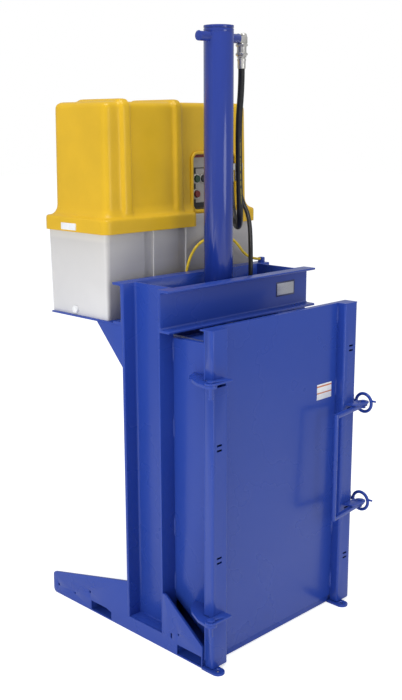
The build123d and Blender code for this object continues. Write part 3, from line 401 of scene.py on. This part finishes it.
# Painted shade: the barrel and its cap get a darker, glossier copy of the frame's blue paint, and the
# darker colour stands for shade on the same paint.
BARREL_SHADED_ENAMEL = enamel("barrel_shaded_enamel", BARREL_SHADED_BLUE, EDGE_WEAR_AND_HIGHLIGHT_BLUE, rough=0.14, coat=0.4)
OWN_OR_SHADED_FINISH = {"nameplate": nameplate_material(), "barrel": BARREL_SHADED_ENAMEL, "barrel_cap": BARREL_SHADED_ENAMEL}


def finish_edges(item, width, segments=2):
    """Weld an item's split vertices and round its sharp edges a little."""
    weld = item.modifiers.new("weld", "WELD")
    weld.merge_threshold = WELD_REACH
    bevel = item.modifiers.new("edge", "BEVEL")
    bevel.width = width
    bevel.segments = segments
    bevel.limit_method = "ANGLE"
    bevel.angle_limit = SHARP_ANGLE
    bevel.harden_normals = True
    for polygon in item.data.polygons:
        polygon.use_smooth = True


for name, node in NODES.items():
    if name in CORDS:
        continue
    node.data.materials.clear()
    node.data.materials.append(OWN_OR_SHADED_FINISH.get(name, materials[SLOTS[name]]))
    finish_edges(node, SOFT_NODES.get(name, NODE_ROUNDING), 3 if name in SOFT_NODES else 2)


# Mesh helpers
def upright(x, y, z):
    """A prism or turned body that rises along Z."""
    return x, y, z


def along_x(y, z, x):
    return x, y, z


def along_y(x, z, y):
    return x, y, z


def closed_mesh(name, mesh):
    """Mesh data with its faces turned outward, from a mesh under construction."""
    bmesh.ops.recalc_face_normals(mesh, faces=mesh.faces)
    data = bpy.data.meshes.new(name)
    mesh.to_mesh(data)
    mesh.free()
    return data


def piece(name, data, slot, body="frame"):
    """A new piece of the scene that rides on a body."""
    item = bpy.data.objects.new(name, data)
    scene.collection.objects.link(item)
    data.materials.clear()
    data.materials.append(materials[slot])
    for polygon in data.polygons:
        polygon.use_smooth = True
    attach(item, body)
    return item


def rounded_outline(x0, x1, y0, y1, radius, steps=6):
    """Points round a rectangle with rounded corners."""
    points = []
    corners = ((x1 - radius, y0 + radius, -90), (x1 - radius, y1 - radius, 0))
    corners += ((x0 + radius, y1 - radius, 90), (x0 + radius, y0 + radius, 180))
    for cx, cy, start in corners:
        for step in range(steps + 1):
            angle = math.radians(start + 90 * step / steps)
            points.append((cx + radius * math.cos(angle), cy + radius * math.sin(angle)))
    return points


def inset_outline(x, y, inset, radius, steps=6):
    """Rounded rectangle between the ends of x and y, drawn in on every side."""
    return rounded_outline(x[0] + inset, x[1] - inset, y[0] + inset, y[1] - inset, radius, steps)


def prism(mesh, low_outline, low_z, high_outline, high_z, place=upright):
    """Add a closed prism between two outlines with as many points."""
    low = [mesh.verts.new(place(x, y, low_z)) for x, y in low_outline]
    high = [mesh.verts.new(place(x, y, high_z)) for x, y in high_outline]
    mesh.faces.new(list(reversed(low)))
    mesh.faces.new(high)
    for i in range(len(low)):
        j = (i + 1) % len(low)
        mesh.faces.new((low[i], low[j], high[j], high[i]))


def skin(mesh, loops, closed=True):
    """Faces between each loop of vertices and the next, and from the last to the first if closed."""
    pairs = list(zip(loops, loops[1:]))
    if closed:
        pairs.append((loops[-1], loops[0]))
    for near, far in pairs:
        for step in range(len(near)):
            after = (step + 1) % len(near)
            mesh.faces.new((near[step], near[after], far[after], far[step]))


def lathe(mesh, centre, rows, sides=32, flats=None, place=upright):
    """Closed body turned about an axis from rows of (height, radius), with flats where asked."""
    loops = []
    for height, radius in rows:
        loop = []
        for step in range(sides):
            angle = 2 * math.pi * step / sides
            reach = radius
            if flats:
                sector = 2 * math.pi / flats
                reach = radius * math.cos(sector / 2) / math.cos(angle % sector - sector / 2)
            x, y = centre[0] + reach * math.cos(angle), centre[1] + reach * math.sin(angle)
            loop.append(mesh.verts.new(place(x, y, height)))
        loops.append(loop)
    skin(mesh, loops)


# Cover: the moulded outer shell with soft edges, then its hollow, window and gap
COVER_LOW, COVER_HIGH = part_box("cover")
SKIRT_X, SKIRT_Y = (COVER_LOW[0], COVER_HIGH[0]), (COVER_LOW[1], COVER_HIGH[1])
SKIRT_R, SKIRT_WALL, SKIRT_HEIGHT = 0.028, 0.006, 0.055
SKIRT_TOP = COVER_LOW[2] + SKIRT_HEIGHT
END_INSET, FRONT_INSET, REAR_INSET = 0.028, 0.024, 0.037
LEAN, REAR_LEAN = 0.006, 0.002
BODY_X = (SKIRT_X[0] + END_INSET, SKIRT_X[1] - END_INSET)
BODY_Y = (SKIRT_Y[0] + FRONT_INSET, SKIRT_Y[1] - REAR_INSET)
HEAD_X = (BODY_X[0] + LEAN, BODY_X[1] - LEAN)
HEAD_Y = (BODY_Y[0] + LEAN, BODY_Y[1] - REAR_LEAN)
BODY_DROP, BODY_R, SHELL = 0.011, 0.026, 0.005
BODY_TOP = COVER_HIGH[2] - BODY_DROP
# The rounded top by how far it is drawn in and how far below the top it lies
ROUND_TOP = ((0, 0.016), (0.005, 0.006), (0.016, 0))
TOP_OVERLAP = 0.001
# The cove by how far it is spread and how high above the skirt it lies
COVE = (((0.024, -0.004), (0.009, 0.008)), ((0.009, 0.006), (0, 0.030)))
COVE_R, COVE_FRONT_SHARE = 0.03, 0.8
WINDOW_X, WINDOW_Z, WINDOW_R = (0.061, 0.305), (1.606, 1.826), 0.024
BAND_INSET, BAND_WINDOW_GAP, BAND_WIDTHS = 0.077, 0.098, (0.042, 0.037)
BAND_LEFTS = (BODY_X[0] + BAND_INSET, WINDOW_X[0] - BAND_WINDOW_GAP)
BAND_PROUD, BAND_BACK, BAND_NOSE = 0.014, 0.066, 0.02
HOLLOW_FLOOR, RIM_TOP, HOLLOW_DROP = 1.5985, 1.593, 0.021
GAP_FLOOR, GAP_MARGINS, GAP_RISE, GAP_R = 1.48, (0.006, 0.025), 0.012, 0.012
VOXEL, SMOOTHING, KEPT_SHARE = 0.0045, 22, 0.5
SPARE, REACH, WIDE_REACH = 0.02, 0.05, 0.1
WINDOW_DEPTH, FACE_SKIN = 0.04, 0.001


def cove_outline(spread):
    """Outline of the cove between skirt and body, spread less at the front."""
    front = BODY_Y[0] - spread * COVE_FRONT_SHARE
    return rounded_outline(BODY_X[0] - spread, BODY_X[1] + spread, front, BODY_Y[1] + spread, COVE_R)


def cover_solid():
    """The cover's outside as overlapping prisms."""
    shell = bmesh.new()
    low = inset_outline(BODY_X, BODY_Y, 0, BODY_R)
    top = inset_outline(HEAD_X, HEAD_Y, 0, BODY_R)
    prism(shell, low, COVER_LOW[2], top, BODY_TOP - ROUND_TOP[0][1])
    for (inset, drop), (inset_after, drop_after) in zip(ROUND_TOP, ROUND_TOP[1:]):
        near = inset_outline(HEAD_X, HEAD_Y, inset, BODY_R)
        far = inset_outline(HEAD_X, HEAD_Y, inset_after, BODY_R)
        prism(shell, near, BODY_TOP - drop - TOP_OVERLAP, far, BODY_TOP - drop_after)
    for (spread, rise), (spread_after, rise_after) in COVE:
        near, far = cove_outline(spread), cove_outline(spread_after)
        prism(shell, near, SKIRT_TOP + rise, far, SKIRT_TOP + rise_after)
    front, back = BODY_Y[0] - BAND_PROUD, BODY_Y[1] - BAND_BACK
    top_z = COVER_HIGH[2]
    side = [(front, COVER_LOW[2]), (front + LEAN, top_z - BAND_NOSE), (front + LEAN + BAND_NOSE, top_z)]
    side += [(back, top_z), (back + BAND_NOSE, BODY_TOP - BAND_NOSE), (back, COVER_LOW[2])]
    for left, width in zip(BAND_LEFTS, BAND_WIDTHS):
        prism(shell, side, left, side, left + width, along_x)
    skirt = inset_outline(SKIRT_X, SKIRT_Y, 0, SKIRT_R)
    prism(shell, skirt, COVER_LOW[2] - SPARE, skirt, SKIRT_TOP)
    return shell


def settle(item):
    """Replace an item's mesh by the result of its modifiers."""
    view = bpy.context.evaluated_depsgraph_get()
    data = bpy.data.meshes.new_from_object(item.evaluated_get(view))
    item.modifiers.clear()
    item.data = data


def loose_object(name, mesh):
    """An object for modifiers to work on, not yet a piece."""
    item = bpy.data.objects.new(name, closed_mesh(name, mesh))
    scene.collection.objects.link(item)
    return item


def cut_away(item, name, *solid):
    """Cut a prism out of an item."""
    mesh = bmesh.new()
    prism(mesh, *solid)
    tool = loose_object(name, mesh)
    cut = item.modifiers.new(name, "BOOLEAN")
    cut.operation = "DIFFERENCE"
    cut.object = tool
    settle(item)
    bpy.data.objects.remove(tool)


def moulded_cover():
    """Soften the solid outside, then cut it hollow and open it."""
    item = loose_object("cover_shell", cover_solid())
    remesh = item.modifiers.new("remesh", "REMESH")
    remesh.mode = "VOXEL"
    remesh.voxel_size = VOXEL
    smooth = item.modifiers.new("soft", "SMOOTH")
    smooth.factor = 0.5
    smooth.iterations = SMOOTHING
    settle(item)
    inner = inset_outline(BODY_X, BODY_Y, SHELL, BODY_R - SHELL)
    inner_top = inset_outline(HEAD_X, HEAD_Y, SHELL, BODY_R - SHELL)
    cut_away(item, "hollow", inner, HOLLOW_FLOOR, inner_top, BODY_TOP - HOLLOW_DROP)
    around = inset_outline(SKIRT_X, SKIRT_Y, SKIRT_WALL, SKIRT_R - SKIRT_WALL)
    cut_away(item, "rim", around, COVER_LOW[2] - REACH, around, RIM_TOP)
    wide = inset_outline(SKIRT_X, SKIRT_Y, -WIDE_REACH, COVE_R)
    cut_away(item, "foot", wide, COVER_LOW[2] - WIDE_REACH, wide, COVER_LOW[2])
    pane = rounded_outline(*WINDOW_X, *WINDOW_Z, WINDOW_R)
    cut_away(item, "window", pane, BODY_Y[0] - REACH, pane, BODY_Y[0] + WINDOW_DEPTH, along_y)
    gap_left, gap_right = WINDOW_X[0] - GAP_MARGINS[0], WINDOW_X[1] + GAP_MARGINS[1]
    opening = rounded_outline(gap_left, gap_right, GAP_FLOOR, SKIRT_TOP + GAP_RISE, GAP_R)
    cut_away(item, "gap", opening, COVER_LOW[1] - REACH, opening, BODY_Y[0] - FACE_SKIN, along_y)
    fewer = item.modifiers.new("fewer", "DECIMATE")
    fewer.ratio = KEPT_SHARE
    settle(item)
    data = item.data
    bpy.data.objects.remove(item)
    cover = piece("cover_shell", data, "yellow_plastic")
    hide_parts("cover")


moulded_cover()


# Rounded bead round the cover's window
WINDOW_BEAD_MARGIN, WINDOW_BEAD_SIDES = 0.004, 10
WINDOW_BEAD_WIDE, WINDOW_BEAD_PROUD = 0.0065, 0.0045


def window_rim():
    """Oval section carried round the window's outline."""
    mesh = bmesh.new()
    outline = inset_outline(WINDOW_X, WINDOW_Z, -WINDOW_BEAD_MARGIN, WINDOW_R + WINDOW_BEAD_MARGIN, 8)
    loops = []
    for i, (x, z) in enumerate(outline):
        ahead, behind = outline[(i + 1) % len(outline)], outline[i - 1]
        along = Vector((ahead[0] - behind[0], 0, ahead[1] - behind[1])).normalized()
        out = Vector((along.z, 0, -along.x))
        loop = []
        for step in range(WINDOW_BEAD_SIDES):
            angle = 2 * math.pi * step / WINDOW_BEAD_SIDES
            place = Vector((x, BODY_Y[0] - FACE_SKIN, z)) + out * WINDOW_BEAD_WIDE * math.cos(angle)
            place.y -= WINDOW_BEAD_PROUD * math.sin(angle)
            loop.append(mesh.verts.new(place))
        loops.append(loop)
    skin(mesh, loops)
    piece("window_rim", closed_mesh("window_rim", mesh), "yellow_plastic")


window_rim()


# Stitch welds: each bead is a lumpy half-round strip between two points
PANEL_EDGE = abs(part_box("side_panel_left")[0][0])
COLUMN_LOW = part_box("column_left")[0]
BEAM_LOW, BEAM_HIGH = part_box("front_beam")
DOOR_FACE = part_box("door_panel")[0][1]
STILE_EDGES = ((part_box("stile_right")[0][0], -1), (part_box("stile_left")[1][0], 1))
SEAM_LEVELS, SEAM_HALF = (1.150, 0.860, 0.475, 0.250), 0.04
STILE_LEVELS, STILE_HALF = (1.217, 0.926, 0.656, 0.340, 0.095), 0.034
SEAM_R, FOOT_R, BEAM_R = 0.0055, 0.004, 0.003
FOOT_HALF, WEB_OFFSET, BEAM_MARGIN = 0.08, 0.006, 0.012
BEAD_PITCH, BEAD_ROW, BEAD_STEPS, BEAD_SINK = 0.0065, 0.0022, 6, 0.0006
BEAD_RIPPLE, BEAD_UNEVEN, BEAD_HEIGHT_SHARE = 0.22, 0.08, 0.8
BEAD_TAPER, BEAD_END_SHARE = 4, 0.25


def bead(mesh, start, end, out, radius, rng):
    """A bead that stands out from the seam, thinner at its ends."""
    start, end, out = Vector(start), Vector(end), Vector(out).normalized()
    along = (end - start).normalized()
    side = along.cross(out)
    length = (end - start).length
    rows = max(6, int(length / BEAD_ROW))
    loops = []
    for row in range(rows + 1):
        share = row / rows
        close = min(1.0, BEAD_TAPER * min(share, 1 - share) + BEAD_END_SHARE)
        ripple = 1 + BEAD_RIPPLE * math.sin(length * share / BEAD_PITCH * 2 * math.pi)
        ripple += rng.uniform(-BEAD_UNEVEN, BEAD_UNEVEN)
        size = radius * close * ripple
        loop = []
        for step in range(BEAD_STEPS + 1):
            angle = math.pi * step / BEAD_STEPS
            rise = size * BEAD_HEIGHT_SHARE * math.sin(angle) - BEAD_SINK
            shift = side * size * math.cos(angle) + out * rise
            loop.append(mesh.verts.new(start + along * length * share + shift))
        loops.append(loop)
    skin(mesh, loops, closed=False)
    mesh.faces.new(loops[0])
    mesh.faces.new(loops[-1])


def welds(name, body, rows):
    rng = random.Random(name)
    mesh = bmesh.new()
    for start, end, out, radius in rows:
        bead(mesh, start, end, out, radius, rng)
    piece(name, closed_mesh(name, mesh), "blue_paint", body)


def upright_ends(x, y, z, half):
    """Ends of an upright bead centred on a level."""
    return (x, y, z - half), (x, y, z + half)


def frame_seams():
    """Beads between panels and columns, at the columns' feet and at the beam's ends."""
    face_y = COLUMN_LOW[1]
    rows = []
    for sx in (-1, 1):
        seam_x, web_x = sx * PANEL_EDGE, sx * (PANEL_EDGE + WEB_OFFSET)
        outer_x, foot_z = sx * abs(COLUMN_LOW[0]), COLUMN_LOW[2]
        for z in SEAM_LEVELS:
            rows.append((*upright_ends(seam_x, face_y, z, SEAM_HALF), (sx, -1, 0), SEAM_R))
        rows.append(((web_x, -FOOT_HALF, foot_z), (web_x, FOOT_HALF, foot_z), (sx, 0, 1), FOOT_R))
        low, high = BEAM_LOW[2] + BEAM_MARGIN, BEAM_HIGH[2] - BEAM_MARGIN
        rows.append(((outer_x, face_y, low), (outer_x, face_y, high), (sx, -1, 0), BEAM_R))
    return rows


def door_seams():
    """Beads between the door's panel and its stiles."""
    rows = []
    for x, out in STILE_EDGES:
        for z in STILE_LEVELS:
            rows.append((*upright_ends(x, DOOR_FACE, z, STILE_HALF), (out, -1, 0), SEAM_R))
    return rows


welds("welds_frame", "frame", frame_seams())
welds("welds_door", "door", door_seams())


# Turned nuts, ferrule and crown on the upper hose end, profiles as height and radius
HOSE_AXIS, ELBOW_AXIS = (0.124, 0), (0.1335, 0)
NUT_TOPS, NUT_R, NUT_BORE = (2.2335, 2.2005), 0.0235, 0.0125
FITTING_ROUNDING = 0.0005
NUT = [
    (0, NUT_BORE), (0, NUT_R - 0.004), (-0.0035, NUT_R),
    (-0.0085, NUT_R), (-0.0125, NUT_R - 0.005), (-0.0125, NUT_BORE),
]
FERRULE = [
    (2.180, 0.0128), (2.180, 0.0160), (2.177, 0.0168), (2.172, 0.0168),
    (2.170, 0.0155), (2.146, 0.0152), (2.1425, 0.0146), (2.1425, 0.0128),
]
NECK = [(2.222, 0.0128), (2.222, 0.0176), (2.200, 0.0176), (2.200, 0.0128)]
CROWN = [
    (2.2712, 0.0005), (2.2712, 0.0055), (2.2698, 0.0095), (2.2662, 0.0122),
    (2.2610, 0.0130), (2.2360, 0.0130), (2.2360, 0.0005),
]


def collars():
    """Nuts, ferrule and neck in one piece, and the elbow's crown in another."""
    mesh = bmesh.new()
    for top in NUT_TOPS:
        lathe(mesh, HOSE_AXIS, [(top + height, radius) for height, radius in NUT], sides=36, flats=6)
    lathe(mesh, HOSE_AXIS, FERRULE)
    lathe(mesh, HOSE_AXIS, NECK)
    finish_edges(piece("hose_collars", closed_mesh("hose_collars", mesh), "zinc"), FITTING_ROUNDING)
    mesh = bmesh.new()
    lathe(mesh, ELBOW_AXIS, CROWN)
    finish_edges(piece("elbow_crown", closed_mesh("elbow_crown", mesh), "zinc"), FITTING_ROUNDING)


collars()


# Plates, caps and strips: boxes with rounded edges
def plates(name, slot, body, rows, rounding=0.0015):
    mesh = bmesh.new()
    for (x0, x1), (y0, y1), (z0, z1) in rows:
        outline = [(x0, y0), (x1, y0), (x1, y1), (x0, y1)]
        prism(mesh, outline, z0, outline, z1)
    finish_edges(piece(name, closed_mesh(name, mesh), slot, body), rounding, 3)


def button_centre(name):
    low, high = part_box(name)
    return (low[0] + high[0]) / 2, (low[2] + high[2]) / 2


CAP_PLAY, CAP_DEPTH = 0.0005, 0.004
LID_X, LID_Y, LID_THICK = (0.120, 0.300), (-0.3095, -0.104), 0.005
LID_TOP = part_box("side_panel_left")[1][2]
PANEL_LEFT, PANEL_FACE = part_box("control_panel")[0][:2]
PANEL_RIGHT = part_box("control_panel")[1][0]
BUTTONS = (button_centre("start_button"), button_centre("stop_button"))
KEY_PITCH, BEZEL_R = 0.038, 0.02
KEY_CENTRE = (BUTTONS[0][0] + KEY_PITCH, BUTTONS[0][1])
STRIP_THICK, FIELD_THICK = 0.0025, 0.001
STRIP_Y, FIELD_Y = (PANEL_FACE - STRIP_THICK, PANEL_FACE), (PANEL_FACE - FIELD_THICK, PANEL_FACE)
STRIP_Z, STRIP_CLEARANCE = (1.612, 1.772), 0.0005
EDGE_STRIP_X = (PANEL_LEFT + 0.004, PANEL_LEFT + 0.0115)
INNER_STRIP_X = (PANEL_LEFT + 0.012, PANEL_LEFT + 0.028)
RAIL_X, RAIL_LEVELS = (PANEL_LEFT + 0.0285, PANEL_RIGHT), ((1.768, 1.7715), (1.6125, 1.634))
FIELD_X, FIELD_Z = (PANEL_LEFT + 0.006, PANEL_RIGHT - 0.01), (1.811, 1.823)


def stile_caps():
    rows = []
    for low, high in (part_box("stile_left"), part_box("stile_right")):
        x, y = (low[0] + CAP_PLAY, high[0] - CAP_PLAY), (low[1] + CAP_PLAY, high[1] - CAP_PLAY)
        rows.append((x, y, (high[2] - CAP_DEPTH, high[2] + CAP_PLAY)))
    plates("stile_caps", "blue_paint", "door", rows)


def chamber_lids():
    z = (LID_TOP - LID_THICK, LID_TOP)
    plates("chamber_lids", "blue_paint", "frame", [((-LID_X[1], -LID_X[0]), LID_Y, z), (LID_X, LID_Y, z)])


def panel_frame():
    """Dark strips round the panel's opening, which leave the push buttons free."""
    rows = [(EDGE_STRIP_X, STRIP_Y, STRIP_Z)]
    top = STRIP_Z[1]
    for _, z in BUTTONS:
        rows.append((INNER_STRIP_X, STRIP_Y, (z + BEZEL_R + STRIP_CLEARANCE, top)))
        top = z - BEZEL_R - STRIP_CLEARANCE
    rows.append((INNER_STRIP_X, STRIP_Y, (STRIP_Z[0], top)))
    rows += [(RAIL_X, STRIP_Y, z) for z in RAIL_LEVELS]
    plates("panel_frame", "black_plastic", "frame", rows, rounding=0.0008)


stile_caps()
chamber_lids()
panel_frame()
plates("panel_field", "red_plastic", "frame", [(FIELD_X, FIELD_Y, FIELD_Z)], rounding=0.0003)


# Bezels and key switch, profiles as height off the panel and radius
BEZEL = [
    (0.0, 0.0152), (0.0035, 0.0152), (0.0045, 0.0165),
    (0.0045, 0.0188), (0.003, BEZEL_R), (0.0, BEZEL_R),
]
KNOB = [(0.0, 0.0004), (0.0, 0.0150), (0.008, 0.0150), (0.010, 0.0135), (0.010, 0.0004)]
KEY_HALF_WIDTH, KEY_HALF_HEIGHT, KEY_ENDS, KEY_ROUNDING = 0.0022, 0.009, (0.0098, 0.0135), 0.0004


def off_panel(x, z, height):
    """A turned body that stands out of the control panel."""
    return x, PANEL_FACE - height, z


def bezels():
    """Rings round the push buttons and the key switch."""
    mesh = bmesh.new()
    for centre in (*BUTTONS, KEY_CENTRE):
        lathe(mesh, centre, BEZEL, sides=40, place=off_panel)
    piece("button_bezels", closed_mesh("button_bezels", mesh), "zinc")


def key_switch():
    """Round switch with a flat key across it."""
    mesh = bmesh.new()
    lathe(mesh, KEY_CENTRE, KNOB, sides=36, place=off_panel)
    x, z = KEY_CENTRE
    left, right = x - KEY_HALF_WIDTH, x + KEY_HALF_WIDTH
    low, high = z - KEY_HALF_HEIGHT, z + KEY_HALF_HEIGHT
    key = [(left, low), (right, low), (right, high), (left, high)]
    prism(mesh, key, KEY_ENDS[0], key, KEY_ENDS[1], off_panel)
    finish_edges(piece("key_switch", closed_mesh("key_switch", mesh), "black_plastic"), KEY_ROUNDING)


bezels()
key_switch()


# Floor, light and background
WORLD_LIGHT, FLOOR_GLOW = 0.5, 0.62
FLOOR_HALF, FLOOR_Z = 30, -0.0005


def background():
    """White to the camera and through clear parts, soft light to the rest."""
    world = bpy.data.worlds.new("world")
    scene.world = world
    world.use_nodes = True
    tree = world.node_tree
    tree.nodes.clear()
    path = tree.nodes.new("ShaderNodeLightPath")
    seen = tree.nodes.new("ShaderNodeMath")
    seen.operation = "MAXIMUM"
    tree.links.new(path.outputs["Is Camera Ray"], seen.inputs[0])
    tree.links.new(path.outputs["Is Transmission Ray"], seen.inputs[1])
    light = tree.nodes.new("ShaderNodeBackground")
    light.inputs["Color"].default_value = (0.93, 0.95, 1.0, 1)
    light.inputs["Strength"].default_value = WORLD_LIGHT
    white = tree.nodes.new("ShaderNodeBackground")
    white.inputs["Color"].default_value = (1, 1, 1, 1)
    white.inputs["Strength"].default_value = 1.0
    blend = tree.nodes.new("ShaderNodeMixShader")
    tree.links.new(seen.outputs[0], blend.inputs["Fac"])
    tree.links.new(light.outputs[0], blend.inputs[1])
    tree.links.new(white.outputs[0], blend.inputs[2])
    out = tree.nodes.new("ShaderNodeOutputWorld")
    tree.links.new(blend.outputs[0], out.inputs["Surface"])


def lamp(name, place, target, size, power, colour=(1, 1, 1), mirrored=True):
    """Round soft lamp aimed at a point, seen in reflections or not."""
    data = bpy.data.lights.new(name, "AREA")
    data.shape = "DISK"
    data.size = size
    data.energy = power
    data.color = colour
    item = bpy.data.objects.new(name, data)
    scene.collection.objects.link(item)
    aim = Vector(target) - Vector(place)
    item.matrix_world = Matrix.Translation(place) @ aim.to_track_quat("-Z", "Y").to_matrix().to_4x4()
    item.visible_glossy = mirrored


def floor():
    """Plain pale floor that glows a little to the camera alone."""
    mesh = bpy.data.meshes.new("floor")
    corners = [(x * FLOOR_HALF, y * FLOOR_HALF, 0) for x, y in ((-1, -1), (1, -1), (1, 1), (-1, 1))]
    mesh.from_pydata(corners, [], [(0, 1, 2, 3)])
    item = bpy.data.objects.new("floor", mesh)
    scene.collection.objects.link(item)
    m = Nodes("floor")
    m.set(Base_Color=(0.93, 0.93, 0.93, 1), Roughness=0.9, Specular_IOR_Level=0.1)
    path = m.tree.nodes.new("ShaderNodeLightPath")
    glow = m.tree.nodes.new("ShaderNodeEmission")
    glow.inputs["Strength"].default_value = FLOOR_GLOW
    add = m.tree.nodes.new("ShaderNodeAddShader")
    out = m.tree.nodes["Material Output"]
    mix = m.tree.nodes.new("ShaderNodeMixShader")
    m.link(m.shader.outputs[0], add.inputs[0])
    m.link(glow.outputs[0], add.inputs[1])
    m.link(path.outputs["Is Camera Ray"], mix.inputs["Fac"])
    m.link(m.shader.outputs[0], mix.inputs[1])
    m.link(add.outputs[0], mix.inputs[2])
    m.link(mix.outputs[0], out.inputs["Surface"])
    mesh.materials.append(m.material)
    item.location.z = FLOOR_Z


background()
floor()
lamp("key", (-5.0, -0.5, 1.5), (0, 0, 0.7), size=2.6, power=92, colour=(1, 0.99, 0.97), mirrored=False)
lamp("front", (0.4, -5.4, 1.6), (0, 0, 0.6), size=2.6, power=42, colour=(0.98, 0.99, 1))
lamp("top", (-0.8, -0.8, 5.8), (0, 0, 0.6), size=3.0, power=110)
